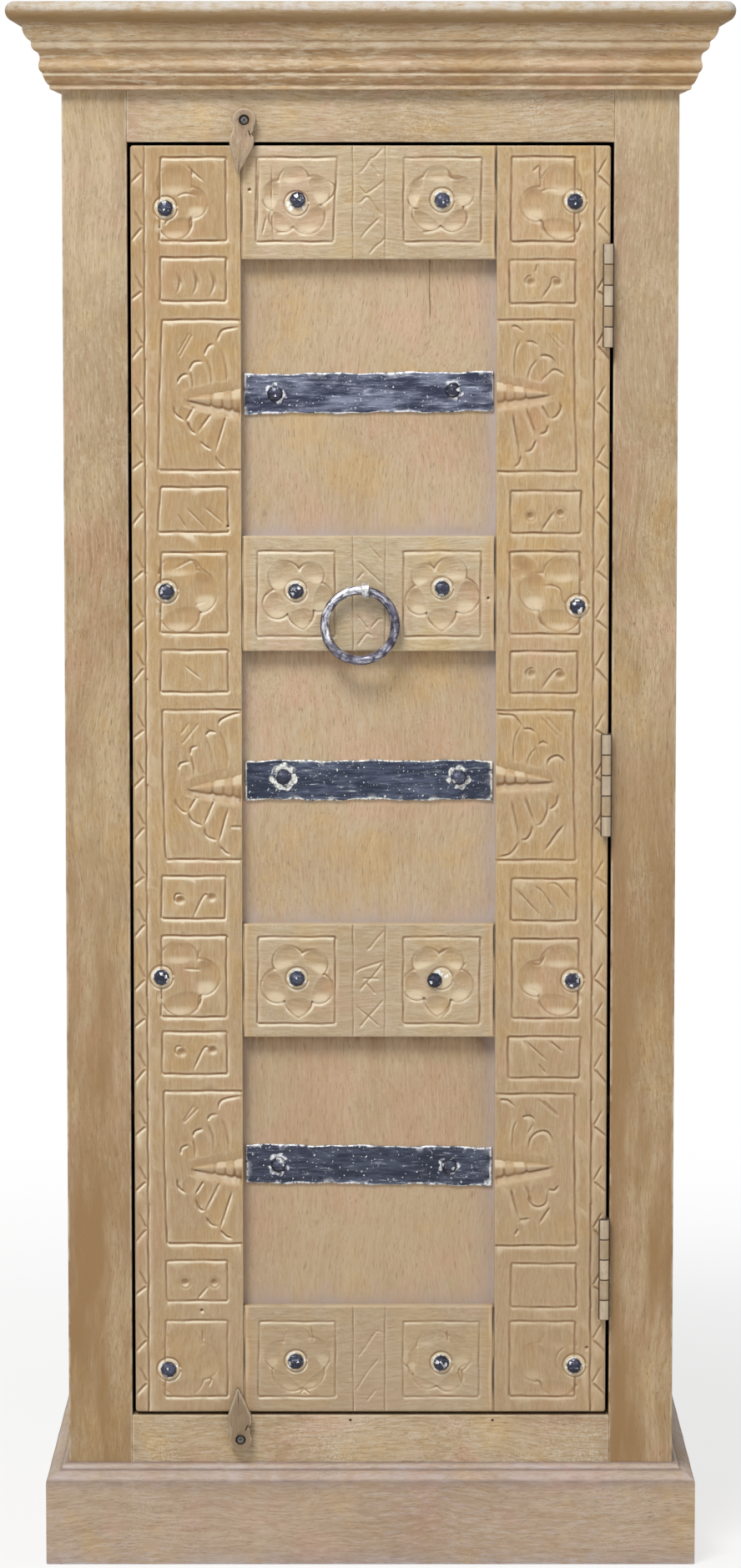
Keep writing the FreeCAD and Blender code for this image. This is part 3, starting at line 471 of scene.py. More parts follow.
PLINTH = [(0, 0, 0, 0.9), (19, 0, 0.2, 0.9), (19.8, 0.6, 0.8, 0.4), (20, 1.8, 0.3, 0.4), (20, 14, 0, 0.12),
    (20, 30, 0, 0), (20, 48, 0, 0), (20, 66, 0, 0.05), (20, 74.6, 0, 0.6), (19.8, 76.2, 0, 1.1), (19.1, 77.2, 0.1, 0.7),
    (17.6, 78.5, 0.45, 0), (15, 80.4, 0.5, 0), (12.2, 82, 0.35, 0.1), (9.4, 83.2, 0.3, 0.2), (7.2, 83.8, 0, 1),
    (6.5, 84.1, 0, 1.3), (6.4, 85, 0.2, 0.5), (6.1, 86.2, 0.55, 0), (5.3, 87.6, 0.4, 0), (4, 88.7, 0.1, 0.4),
    (2.4, 89.5, 0, 1), (1, 89.9, 0, 1.3), (0, 90, 0, 1.3)]


def moulding(name, profile, foot, side, material):
    """One mitred length of a moulding on the front or a side, its hand-run lines a little wavy."""
    spots = np.array(profile)
    out, up, worn, soiled = spots.T
    rings, wears, soils = [], [], []
    span = 2 * BODY_HALF if side == "front" else BACK - FRAME_FRONT
    for place in np.linspace(0, 1, int(span / 11) + 1):
        lively = np.minimum(1, np.minimum(place, 1 - place) * span / 20)
        sway = 0.22 * np.sin(place * span * 0.033 + up * 0.21) * lively * (out > 0)
        held = np.clip(out - np.abs(sway), 0, None)
        ring = np.empty((len(spots), 3))
        ring[:, 2] = foot + up
        if side == "front":
            reach = BODY_HALF + out
            ring[:, 0] = -reach + place * 2 * reach
            ring[:, 1] = FRAME_FRONT - held
        else:
            way = -1 if side == "left" else 1
            ring[:, 0] = way * (BODY_HALF + held)
            ring[:, 1] = (FRAME_FRONT - out) + place * (BACK - FRAME_FRONT + out)
        rings.append(ring)
        patch = 0.75 + 0.25 * math.sin(place * span * 0.045 + 1.3) + 0.12 * math.sin(place * span * 0.21)
        wears.append(worn * patch)
        soils.append(soiled * (1.1 - 0.2 * patch))
    return swept(name, rings, material, wear=np.array(wears), soil=np.array(soils))


def moulded(soil_tone, pale_tone, dashed):
    """A finish brown in the quirks and hollows and under each step, for dirt and painted shade, and pale
    on the beads and fillets, for wear and a painted highlight; the grain's ends torn up in pale slanting
    dashes."""
    def finish(colour, place):
        grime_and_shade = fade(noise(place, 60.0, 3.0, 0.6), 0.2, 0.6, 0.55, 1.0)
        rubbed = fade(noise(place, 85.0, 3.0, 0.65), 0.3, 0.6, 0.35, 1.0)
        # Brown for dirt and painted shade in the quirks and under each step; pale for wear and a painted highlight on
        # the beads and fillets.
        brown = times(attribute(place, "soil"), grime_and_shade)
        pale = times(attribute(place, "wear"), rubbed)
        slant = mapped(place, Rotation=(0.0, 0.42, 0.0), Scale=(0.16, 0.3, 1.0))
        torn = times(fade(noise(slant, 330.0, 3.0, 0.65, 0.4), 0.5, 0.64), fade(noise(place, 13.0, 3.0), 0.38, 0.6))
        colour = blend(times(brown, 0.66, True), colour, soil_tone)
        colour = blend(times(torn, dashed), colour, pale_tone)
        return blend(times(pale, 0.62, True), colour, pale_tone)
    return finish


cornice_level, cornice_deep = (
    wood("cornice_%s_wood" % part, grain, (206, 176, 136), (168, 132, 90), (232, 218, 194), seed, figure=0.6, limed=0.5,
         pores=0.6, finish=moulded((142, 106, 68), (238, 226, 202), 0.42))
    for part, grain, seed in (("front", "x", 13.7), ("side", "y", 14.9)))
plinth_level = wood("plinth_front_wood", "x", (178, 156, 132), (152, 126, 100), (200, 186, 168), 21.1,
                    figure=0.35, limed=0.4, pores=0.4, finish=moulded((124, 107, 106), (208, 205, 220), 0.15))
plinth_deep = wood("plinth_side_wood", "y", (174, 152, 126), (150, 126, 102), (200, 188, 172), 22.7,
                   figure=0.35, limed=0.4, pores=0.4, finish=moulded((128, 106, 96), (206, 200, 204), 0.15))
for side in ("front", "left", "right"):
    for kind, profile, foot, level, deep in (("cornice", CORNICE, CORNICE_FOOT, cornice_level, cornice_deep),
                                             ("plinth", PLINTH, 0.0, plinth_level, plinth_deep)):
        run = moulding(kind + "_run_" + side, profile, foot, side, level if side == "front" else deep)
        keep(run, "cabinet", "moulding_wood", kind + "_" + side)


# Top board. Glued up from three boards, its front and side edges worked to a full round. The round is
# grey-white above, rubbed where hands and dusters reach it and painted light where it faces up, and
# brown below, as painted shade.

def plate_finish(colour, place):
    level = reckon("ADD", along(place, "Z"), times(noise(place, 38.0, 4.0, 0.7), 0.006))
    # Painted shade: brown on the lower half of the round.
    colour = blend(fade(level, 1.3975, 1.3915, 0.0, 0.8), colour, (138, 107, 62))
    scuffed = fade(noise(place, 75.0, 4.0, 0.7), 0.36, 0.6)
    # Wear and painted light: grey-white on the upper half of the round.
    pale = times(fade(level, 1.3935, 1.3985), scuffed)
    return blend(times(pale, 0.6), colour, (200, 200, 198))


plate_wood = wood("top_board_wood", "x", (186, 170, 146), (150, 122, 86), (212, 206, 196), 27.3,
                  figure=0.5, limed=0.35, pores=0.5, finish=plate_finish)
clad(nodes["top_plate"].data, plate_wood)


# Carved door boards. Two upright stiles and four rails, tenoned together, each with its pattern cut
# by hand with a gouge and a parting tool before the door was put together: sunk lines round squares
# and bars, half and whole rosettes round the nails, and winged fans with a spindle in half relief.

DOOR_FACE = -153.0
DOOR_INSIDE = -129.0
DOOR_LOW, DOOR_HIGH = (-212.5, 136.0), (212.5, 1275.2)
STILE_INNER = {"left": -115.0, "right": 112.0}
CORNER_RADIUS, BACK_BEVEL = 2.6, 0.8
CELL = 0.5
WOBBLE = 0.22
LOBE_SPOTS = 26


def uncut_face(low, high):
    """A board's face from corner low to corner high, as depths in mm at every half millimetre."""
    x = np.arange(low[0], high[0] + CELL / 2, CELL)
    z = np.arange(low[1], high[1] + CELL / 2, CELL)
    layers = {layer: np.zeros((len(z), len(x)), np.float32) for layer in ("depth", "soil", "bare")}
    return {"low": low, "high": high, "x": x, "z": z, **layers}


def hand_drawn(points, closed=False, pitch=0.5):
    """A smooth line through points, given as x, z, x, z and so on, with a spot at every pitch mm."""
    spots = np.reshape(points, (-1, 2)).astype(float)
    before, after = (spots[-1:], spots[:2]) if closed else (2 * spots[0] - spots[1], 2 * spots[-1] - spots[-2])
    held = np.vstack([before, spots, after])
    runs = []
    for a, b, c, d in zip(held, held[1:], held[2:], held[3:]):
        t = np.linspace(0, 1, max(2, int(np.hypot(*(c - b)) / pitch)), endpoint=False)[:, None]
        runs.append(b + 0.5 * ((c - a) * t + (2 * a - 5 * b + 4 * c - d) * t ** 2 + (3 * b - a - 3 * c + d) * t ** 3))
    if not closed:
        runs.append(spots[-1:])
    return np.vstack(runs)


def around(face, low, high):
    """The part of a face between two corners: its rows, its columns, and its places."""
    columns = slice(*np.searchsorted(face["x"], (low[0], high[0])))
    rows = slice(*np.searchsorted(face["z"], (low[1], high[1])))
    x, z = np.meshgrid(face["x"][columns], face["z"][rows])
    return (rows, columns), x.astype(np.float32), z.astype(np.float32)


def nearest(line, x, z):
    """Each place's distance from a line, the side it lies on (1 left, -1 right) and how far along."""
    line = line.astype(np.float32)
    apart = (x[..., None] - line[:, 0]) ** 2 + (z[..., None] - line[:, 1]) ** 2
    index = apart.argmin(-1)
    away = np.sqrt(np.take_along_axis(apart, index[..., None], -1))[..., 0]
    heading = np.gradient(line, axis=0)
    turn = heading[index, 0] * (z - line[index, 1]) - heading[index, 1] * (x - line[index, 0])
    return away, np.where(turn >= 0, 1.0, -1.0), index / (len(line) - 1)


def raise_to(face, layer, window, values):
    """Brings one layer of a face up to values, where it isn't more already."""
    face[layer][window] = np.maximum(face[layer][window], values)


def sink(face, window, depth, soil):
    """Takes wood away down to depth, where the face isn't deeper already, and browns the cut in proportion to its
    depth, for dirt and painted shade.
    """
    raise_to(face, "depth", window, depth)
    raise_to(face, "soil", window, soil * depth)


def gouge(face, points, width, depth, lean=0.0, ends=(0.25, 0.25), soil=1.0):
    """A cut along a line. lean from -1 to 1 makes its left or right wall the long one; it runs out
    at both ends over those shares of its length."""
    line = hand_drawn(points)
    reach = width * 0.5 * (1 + abs(lean)) + 0.5
    window, x, z = around(face, line.min(0) - reach, line.max(0) + reach)
    away, side, along = nearest(line, x, z)
    half = 0.5 * width * (1 + side * lean)
    fullness = np.clip(np.minimum(along / ends[0], (1 - along) / ends[1]), 0.0, 1.0) ** 0.6
    sink(face, window, depth * fullness * np.clip(1 - away / (half * (0.35 + 0.65 * fullness)), 0, 1), soil)


def ruled_cut(face, start, end, width, depth, bow=0.0, lean=0.0, ends=1.5, soil=1.0):
    """A V cut along a straight edge from start to end, which the hand lets stray a little. lean above
    0 makes the wall on the line's left the long one."""
    start, end = np.array(start, float), np.array(end, float)
    length = np.hypot(*(end - start))
    way = (end - start) / length
    reach = width + abs(bow) + 1
    window, x, z = around(face, np.minimum(start, end) - reach, np.maximum(start, end) + reach)
    along = (x - start[0]) * way[0] + (z - start[1]) * way[1]
    stray = WOBBLE * (np.sin(along * 0.11 + start[0]) + 0.6 * np.sin(along * 0.29 + start[1]))
    share = np.clip(along / length, 0, 1)
    off = (z - start[1]) * way[0] - (x - start[0]) * way[1] - stray - bow * 4 * share * (1 - share)
    half = 0.5 * width * (1 + np.sign(off) * lean)
    pressure = 1 + 0.14 * np.sin(along * 0.17 + 2.1 * start[1])
    fullness = np.clip(np.minimum(along, length - along) / ends + 0.5, 0, 1)
    sink(face, window, depth * pressure * fullness * np.clip(1 - np.abs(off) / half, 0, 1), soil)


def hollow(face, centre, radii, turn, depth, soil):
    """A scoop of a wide gouge, as long and as wide as radii, turned by some degrees."""
    reach = max(radii)
    window, x, z = around(face, (centre[0] - reach, centre[1] - reach), (centre[0] + reach, centre[1] + reach))
    cosine, sine = math.cos(math.radians(turn)), math.sin(math.radians(turn))
    u = ((x - centre[0]) * cosine + (z - centre[1]) * sine) / radii[0]
    v = ((z - centre[1]) * cosine - (x - centre[0]) * sine) / radii[1]
    sink(face, window, depth * np.clip(1 - u * u - v * v, 0, 1) ** 0.8, soil)


def lobe_arc(first, tip, last):
    """A round lobe: the arc from first through tip to last."""
    (ax, az), (bx, bz), (cx, cz) = first, tip, last
    scale = 2 * (ax * (bz - cz) + bx * (cz - az) + cx * (az - bz))
    a, b, c = ax * ax + az * az, bx * bx + bz * bz, cx * cx + cz * cz
    ox = (a * (bz - cz) + b * (cz - az) + c * (az - bz)) / scale
    oz = (a * (cx - bx) + b * (ax - cx) + c * (bx - ax)) / scale
    radius = math.hypot(ax - ox, az - oz)
    start, middle, end = (math.atan2(spot[1] - oz, spot[0] - ox) for spot in (first, tip, last))
    whole = 2 * math.pi
    sweep = (end - start) % whole
    if (middle - start) % whole > sweep:
        sweep -= whole
    turns = np.linspace(start, start + sweep, LOBE_SPOTS)
    return np.stack([ox + radius * np.cos(turns), oz + radius * np.sin(turns)], -1)


def lobe_point(first, tip, last):
    """A pointed lobe: two curved flanks that meet at tip."""
    first, tip, last = np.array((first, tip, last))
    middle = 0.5 * (first + last)
    t = np.linspace(0, 1, LOBE_SPOTS // 2)[:, None]
    flanks = []
    for start in (first, last):
        bulge = 0.5 * start + 0.5 * tip + 0.55 * (start - middle)
        flanks.append((1 - t) ** 2 * start + 2 * t * (1 - t) * bulge + t * t * tip)
    return np.vstack([flanks[0], flanks[1][::-1]])


def flower(face, arcs, depth, closing=(), points=()):
    """A flower or half flower, its petals dished and a V cut round them, steep on the petals' side and
    let out into the ground at each notch. Each petal is painted with shade on its upper part and a
    highlight on its lower part, and the ground below the lower notches with a highlight. Each arc is a
    lobe's first, outermost and last spot; closing are spots that close a half flower along its nail,
    and points the arcs that run to a point."""
    wall = np.vstack([(lobe_point if place in points else lobe_arc)(*arc) for place, arc in enumerate(arcs)])
    whole = np.vstack([wall, np.array(closing, float)]) if len(closing) else wall
    window, x, z = around(face, whole.min(0) - 4, whole.max(0) + 4)
    away, _, along = nearest(wall, x, z)
    inside = np.zeros(x.shape, bool)
    for (ax, az), (bx, bz) in zip(whole, np.roll(whole, -1, axis=0)):
        if az != bz:
            inside ^= ((az > z) != (bz > z)) & (x < ax + (z - az) * (bx - ax) / (bz - az))
    notches = np.array([spot for arc in arcs for spot in (arc[0], arc[2])], float)
    centre_z = notches[:, 1].mean()
    share = (np.round(along * (len(wall) - 1)) % LOBE_SPOTS) / (LOBE_SPOTS - 1)
    firm = (0.32 + 0.68 * np.abs(2 * share - 1) ** 1.4) * np.where(z > centre_z, 0.8, 1.2)
    cut = depth * firm * np.clip(1 - away / np.where(inside, 1.0, 2.3), 0, 1)
    gap = np.sqrt(((x[..., None] - notches[:, 0]) ** 2 + (z[..., None] - notches[:, 1]) ** 2).min(-1))
    ground = 0.62 * depth * np.clip(1 - gap / 10.0, 0, 1)
    dish = 0.25 * depth * (1 - np.exp(-away / 4.5))
    tone = np.zeros(x.shape)
    for first, tip, last in np.array(arcs, float):
        root = 0.5 * (first + last) - 0.3 * (tip - 0.5 * (first + last))
        long = 0.5 * np.hypot(*(tip - root))
        wide = 0.56 * np.hypot(*(last - first))
        middle, way = 0.5 * (root + tip), (tip - root) / (2 * long)
        u = ((x - middle[0]) * way[0] + (z - middle[1]) * way[1]) / long
        v = ((z - middle[1]) * way[0] - (x - middle[0]) * way[1]) / wide
        bowl = np.clip(1 - u * u - v * v, 0, 1)
        dish = np.maximum(dish, 0.95 * depth * bowl ** 0.75)
        # Painted shade on each petal's upper part and a painted highlight on its lower part, as light from above falls
        # in a dish.
        upward = np.sqrt(bowl) * (z - middle[1]) / (0.7 * long)
        tone = np.where(np.abs(upward) > np.abs(tone), upward, tone)
    sink(face, window, np.where(inside, dish, ground), 0.1)
    sink(face, window, cut, 1.15)
    # Painted highlight on the ground that falls away below the lower notches.
    lit_ground = np.where(inside | (z > centre_z), 0.0, 0.42 * np.clip(1.3 - gap / 6.5, 0, 1))
    plain = min(1.0, depth / 1.5) ** 1.5
    tone, lit_ground = plain * np.where(inside, np.clip(tone, -1, 1), 0.0), plain * lit_ground
    raise_to(face, "soil", window, 0.52 * tone)
    raise_to(face, "bare", window, np.maximum(lit_ground, -0.55 * tone))


def nail_seat(face, centre, radius):
    """The bare, turned ring that a nail's head stands in, with chips of old white paint next to it."""
    scribed_ring(face, centre, radius, 2.3, 1.3)
    window, x, z = around(face, (centre[0] - radius, centre[1] - radius), (centre[0] + radius, centre[1] + radius))
    away = np.hypot(x - centre[0], z - centre[1])
    turn = np.arctan2(z - centre[1], x - centre[0])
    chips = np.sin(3 * turn + centre[0]) + 0.7 * np.sin(7 * turn + centre[1]) + 0.9 * np.cos(turn - 2.3)
    white = 0.5 * np.clip(chips + 0.2, 0, 1) * np.clip((8.9 - away) / 0.6, 0, 1)
    raise_to(face, "bare", window, 0.5 * np.clip((radius - 0.5 - away) / 0.6, 0, 1) + white)


def scribed_ring(face, centre, radius, width=1.6, depth=0.8):
    """A circle pressed in with a round punch or turned with a V tool."""
    spots = [(centre[0] + radius * math.cos(math.radians(turn)), centre[1] + radius * math.sin(math.radians(turn)))
             for turn in range(0, 361, 20)]
    gouge(face, spots, width, depth, ends=(0.02, 0.02))


def sunk_square(face, left, right, bottom, top, open_side=None, slant=(0, 0), depth=1.35, width=3.6):
    """The sunk line round one motif. Where it runs off the board's edge, that side is left open."""
    ruled_cut(face, (left[1], top), (right[1], top), width=width, depth=depth, lean=-0.25)
    ruled_cut(face, (left[0], bottom), (right[0], bottom), width=width, depth=depth, lean=-0.25)
    if open_side != "left":
        ruled_cut(face, (left[0], bottom), (left[1], top), bow=slant[0], width=width, depth=depth)
    if open_side != "right":
        ruled_cut(face, (right[0], bottom), (right[1], top), bow=slant[1], width=width, depth=depth)


def softened(values, radius, rounds=3):
    """values averaged over radius millimetres each way, in some rounds."""
    span = max(1, int(round(radius / CELL)))
    size = 2 * span + 1
    for _ in range(2 * rounds):
        held = np.pad(values, [(span, span), (0, 0)], mode="edge")
        total = np.insert(np.cumsum(held, axis=0), 0, 0, axis=0)
        values = ((total[size:] - total[:-size]) / size).T
    return values


def looked_up(face, values, x, z):
    """values of a face at places between its cells."""
    u = np.clip((x - face["x"][0]) / CELL, 0, len(face["x"]) - 1.001)
    v = np.clip((z - face["z"][0]) / CELL, 0, len(face["z"]) - 1.001)
    column, row = u.astype(int), v.astype(int)
    u, v = u - column, v - row
    low = values[row, column] * (1 - u) + values[row, column + 1] * u
    high = values[row + 1, column] * (1 - u) + values[row + 1, column + 1] * u
    return low * (1 - v) + high * v


def board_lines(low, high, pitch):
    """Places of a board's mesh lines in one direction: even, and closer at both edges."""
    near = np.array((0.0, 0.25, 0.7, 1.3, 2.1, 3.0))
    middle = np.linspace(low + 3.0, high - 3.0, int((high - low - 6.0) / pitch) + 1)[1:-1]
    return np.concatenate([low + near, middle, (high - near)[::-1]])


def grid_faces(rows, columns):
    """The quads of a grid of places, and the places round its rim."""
    index = np.arange(rows * columns).reshape(rows, columns)
    quads = np.stack([index[:-1, :-1], index[:-1, 1:], index[1:, 1:], index[1:, :-1]], -1).reshape(-1, 4)
    return quads, np.concatenate([index[0, :-1], index[:-1, -1], index[-1, :0:-1], index[:0:-1, 0]])


def settled(piece, name):
    """The mesh that a piece's modifiers make, in place of the piece."""
    mesh = bpy.data.meshes.new_from_object(piece.evaluated_get(bpy.context.evaluated_depsgraph_get()))
    mesh.name = name
    piece.modifiers.clear()
    bpy.data.objects.remove(piece)
    return mesh


def carved_board(name, face, material, arrises, corners=(), pitch=0.72, most=190000):
    """The whole board from its face's depths. arrises are the radii, in mm, to which its left, right,
    bottom and top edges are worn, corners the door's own rounded ones, and most its triangles."""
    (left, bottom), (right, top) = face["low"], face["high"]
    x, z = np.meshgrid(board_lines(left, right, pitch), board_lines(bottom, top, pitch))
    cut = softened(face["depth"], 0.5, 1)
    depth = looked_up(face, cut, x, z)
    rolling = 0.10 * np.sin(x * 0.16 + z * 0.05) * np.sin(z * 0.071 + x * 0.03) + 0.05 * np.sin(z * 0.31 + x * 0.2)
    depth = depth + 0.12 + rolling
    for gap, radius in zip((x - left, right - x, z - bottom, top - z), arrises):
        inset = np.clip(radius - gap, 0, radius)
        depth = np.maximum(depth, radius - np.sqrt(radius * radius - inset * inset) + 0.12)
    depth = np.maximum(depth, 0.0)
    for cx, cz in corners:
        way_x, way_z = (-1 if cx == left else 1), (-1 if cz == bottom else 1)
        u = (x - (cx - way_x * CORNER_RADIUS)) * way_x
        v = (z - (cz - way_z * CORNER_RADIUS)) * way_z
        held = (u > 0) & (v > 0)
        squeeze = np.where(held, np.maximum(u, v) / np.maximum(np.hypot(u, v), 1e-6), 1.0)
        x = np.where(held, x + (squeeze - 1) * u * way_x, x)
        z = np.where(held, z + (squeeze - 1) * v * way_z, z)
    points = np.stack([x, DOOR_FACE + depth, z], -1).reshape(-1, 3)
    quads, rim = grid_faces(*x.shape)
    first, count = len(points), len(rim)
    near_back, back = points[rim], points[rim]
    near_back[:, 1] = DOOR_INSIDE - BACK_BEVEL
    back[:, 0] = np.clip(back[:, 0], left + BACK_BEVEL, right - BACK_BEVEL)
    back[:, 2] = np.clip(back[:, 2], bottom + BACK_BEVEL, top - BACK_BEVEL)
    back[:, 1] = DOOR_INSIDE
    points = np.vstack([points, near_back, back])
    ring = np.arange(count)
    after = (ring + 1) % count
    walls = np.stack([rim[after], rim, first + ring, first + after], -1)
    bevels = np.stack([first + after, first + ring, first + count + ring, first + count + after], -1)
    faces = np.vstack([quads, walls, bevels]).tolist() + [list(range(first + 2 * count - 1, first + count - 1, -1))]
    mesh = bpy.data.meshes.new(name + "_uncut")
    mesh.from_pydata((points * MM).tolist(), [], faces)
    mesh.update()
    whole = stand(name + "_uncut", mesh)
    lighter = whole.modifiers.new("lighter", "DECIMATE")
    triangles = 2 * (len(quads) + len(walls) + len(bevels)) + count
    lighter.ratio = min(1.0, most / triangles)
    board = settled(whole, name)
    bpy.data.meshes.remove(mesh)
    place = np.empty(len(board.vertices) * 3)
    board.vertices.foreach_get("co", place)
    x, y, z = (place.reshape(-1, 3) / MM).T
    on_face = y < DOOR_FACE + 7
    ridge = np.clip((softened(face["depth"], 2.5) - cut) / 0.35, 0, 1)
    margin = np.minimum.reduce([x - left, right - x, z - bottom, top - z])
    wear = np.maximum(looked_up(face, ridge, x, z), np.clip(1 - margin / 1.6, 0, 1) * 0.9)
    soiled = softened(face["soil"], 0.5, 1)
    # Painted shade: the dirt of each cut is read a little below and to the right, so that it lies on the cut's upper
    # and left walls, which face away from the lamp.
    soil = looked_up(face, soiled, x + 0.25, z - 0.85)
    # Painted highlight: the same dirt read above and to the left, less the dirt itself, marks the cut's lower and right
    # walls, which face the lamp.
    lip = looked_up(face, soiled, x - 0.4, z + 1.1) - 0.8 * soil
    lip = lip * np.clip(np.minimum(x - left, right - x) - 1.4, 0, 1)
    halo = looked_up(face, softened(face["soil"], 5.0), x, z)
    bare = looked_up(face, face["bare"], x, z)
    paint(board, wear=wear * on_face, soil=soil * on_face, lip=lip * on_face, halo=halo * on_face,
          bare=bare * on_face)
    return piece_from(name, board, material, 62)


def cut_all(face, strokes, width, depth, lean=0.0, ends=(0.25, 0.25), soil=1.0):
    for stroke in strokes:
        gouge(face, stroke, width, depth, lean, ends, soil)


def half_flower(face, spots, depth=1.5):
    """A half flower of three lobes, from the seven spots of its rim."""
    a, b, c, d, e, f, g = zip(spots[::2], spots[1::2])
    flower(face, [(a, b, c), (c, d, e), (e, f, g)], depth, [g, a])


def zigzag_border(face, line_x, edge_x, lower_ends):
    """The long line beside the door's outer edge, and the tacking strokes between it and the edge."""
    for low in np.arange(136.0, 1275.0, 95.0):
        ruled_cut(face, (line_x, low - 1), (line_x, min(low + 96.0, 1276.0)), width=3.2, depth=1.5, ends=0.5)
    way = 1 if edge_x > line_x else -1
    inner = line_x + way * 1.6
    for place, low in enumerate(lower_ends):
        rise = 11.0 + 3.0 * math.sin(place * 2.3)
        gouge(face, [edge_x + way, low - 1, inner, low + rise], 3.2, 1.6, -0.35 * way, (0.02, 0.15), 0.7)
        gouge(face, [inner, low + rise, edge_x - way * 3, low + rise + 16], 2.8, 1.4, 0.0, (0.12, 0.25), 0.8)


def spindle_and_ground(face, inner, way, middle, tip, half):
    """The turned spindle left standing in half relief, in ground sunk round it, painted with shade on its
    lower half and on the ground beside it and with a highlight on its upper half. half is its half
    thickness at the stile's edge."""
    low = (min(inner, inner + way * 56), middle - 2.4 * half)
    high = (max(inner, inner + way * 56), middle + 2.4 * half)
    window, x, z = around(face, low, high)
    along = (x - inner) * way
    length = abs(tip[0] - inner)
    share = np.clip(along / length, 0, 1)
    axis = middle + (tip[1] - middle) * share
    girth = np.interp(share, (0, 0.10, 0.16, 0.22, 0.32, 0.46, 0.54, 0.60, 1.0),
                      (0.98, 0.92, 0.76, 0.84, 0.68, 0.62, 0.46, 0.49, 0.03)) * half
    off = np.abs(z - axis)
    over = off / np.maximum(girth, 0.3)
    body = 2.6 * (1 - np.sqrt(np.clip(1 - over * over, 0, 1)))
    below = z < axis
    width = np.where(below, 0.5 * half + 2.0, 0.9 * half)
    shelf = np.where(below, 2.3, 1.2) * np.clip(1 - (off - girth) / width, 0, 1) ** 1.1
    shelf = shelf * np.clip((length + 3 - along) / 8, 0, 1)
    ring = np.minimum.reduce([np.abs(share - spot) for spot in (0.16, 0.34, 0.54)]) * length
    body = body + 0.6 * np.clip(1 - ring / 1.3, 0, 1)
    taken = np.where((over < 1) & (along <= length), body, shelf)
    face["depth"][window] = np.where(shelf > 0.01, taken, np.maximum(face["depth"][window], taken))
    # Painted shade on the spindle's lower half and rings, and on the sunk ground beside it, most below.
    shaded = np.where(below, 0.5 + 0.6 * over, 0.1) + 0.3 * np.clip(1 - ring / 1.1, 0, 1)
    raise_to(face, "soil", window, np.where(over < 1, shaded, np.where(below, 0.5, 0.25) * shelf))
    # Painted highlight on the upper half, which faces the lamp, strongest on two of its three parts.
    chipped_and_lit = np.where((share < 0.17) | ((share > 0.32) & (share < 0.5)), 0.42, 0.18)
    facing_up = np.where((over < 1) & ~below & (along <= length), chipped_and_lit * np.clip(0.3 + 2.2 * over, 0, 1), 0.0)
    raise_to(face, "bare", window, facing_up)


def carved_finish(colour, place):
    """Brown wax and painted shade in the cuts, the deepest painted near black, and a soft brown halo round
    them; lime and a painted highlight on every lip that faces the lamp; pale wood on the ridges and
    arrises, pale bared wood and white chips of paint by the nails, and painted highlights on the faces
    that turn up to the lamp; and all of it duller towards the floor, as painted shade."""
    height, across = along(place, "Z"), along(place, "X")
    soil, bare = attribute(place, "soil"), attribute(place, "bare")
    # Painted shade: duller and darker towards the floor, away from the lamp above.
    colour = blend(fade(height, 0.95, 0.1, 0.0, 0.46), colour, (158, 134, 108))
    sunned = times(fade(height, 0.7, 0.95, 0.0, 0.3), fade(across, -0.11, -0.13))
    colour = blend(sunned, colour, (158, 124, 80))
    patchy = fade(noise(place, 55.0, 3.0, 0.6), 0.3, 0.65, 0.45, 1.0)
    # A soft brown halo round the cuts: wax spread wider, with the cuts' painted shade blurred into it.
    colour = blend(times(fade(attribute(place, "halo"), 0.02, 0.5), 0.55), colour, (182, 145, 98))
    # Brown in the cuts, for wax and painted shade, in proportion to their depth; the deepest cuts and the open joints
    # go near black, as painted shade.
    dark = times(fade(soil, 0.12, 1.0), patchy)
    colour = blend(times(dark, 0.8), colour, (122, 86, 54))
    colour = blend(fade(soil, 1.05, 1.5, 0.0, 0.85), colour, (40, 27, 20))
    rubbed = times(fade(attribute(place, "wear"), 0.2, 0.9), patchy)
    colour = blend(times(rubbed, 0.35), colour, (222, 208, 180))
    # Lime and a painted highlight on the lips that face the lamp, below and right of each cut, stronger on the left of
    # the door, nearer the lamp.
    limed = times(fade(attribute(place, "lip"), 0.1, 0.7), fade(patchy, 0.4, 0.8, 0.45, 1.0))
    limed = times(limed, fade(across, 0.16, -0.1, 0.3, 0.68))
    colour = blend(limed, colour, (240, 230, 206))
    # Pale bared wood round the nails, and painted highlights on the faces that turn up to the lamp: the spindles' upper
    # halves, the petals' lower halves and the ground under the notches. Near white where chips of old paint lie and
    # where those highlights are strongest.
    colour = blend(fade(bare, 0.1, 0.5, 0.0, 0.6), colour, (226, 210, 180))
    chips = fade(times(bare, fade(noise(place, 260.0, 3.0), 0.3, 0.5)), 0.6, 0.8)
    return blend(chips, colour, (244, 244, 238))


carved_upright = wood("carved_upright_wood", "z", (184, 157, 118), (162, 130, 88), (208, 194, 166),
                      11.3, figure=0.25, patches=0.4, limed=0.3, pores=0.3, finish=carved_finish)
# Where each tacking stroke starts on both stiles, below the two highest.
TACKS = (1139, 1086, 1037, 988, 938, 889, 845, 798, 748, 703, 656, 616, 568, 520, 487, 436, 388, 337, 290, 243, 190,
         150)

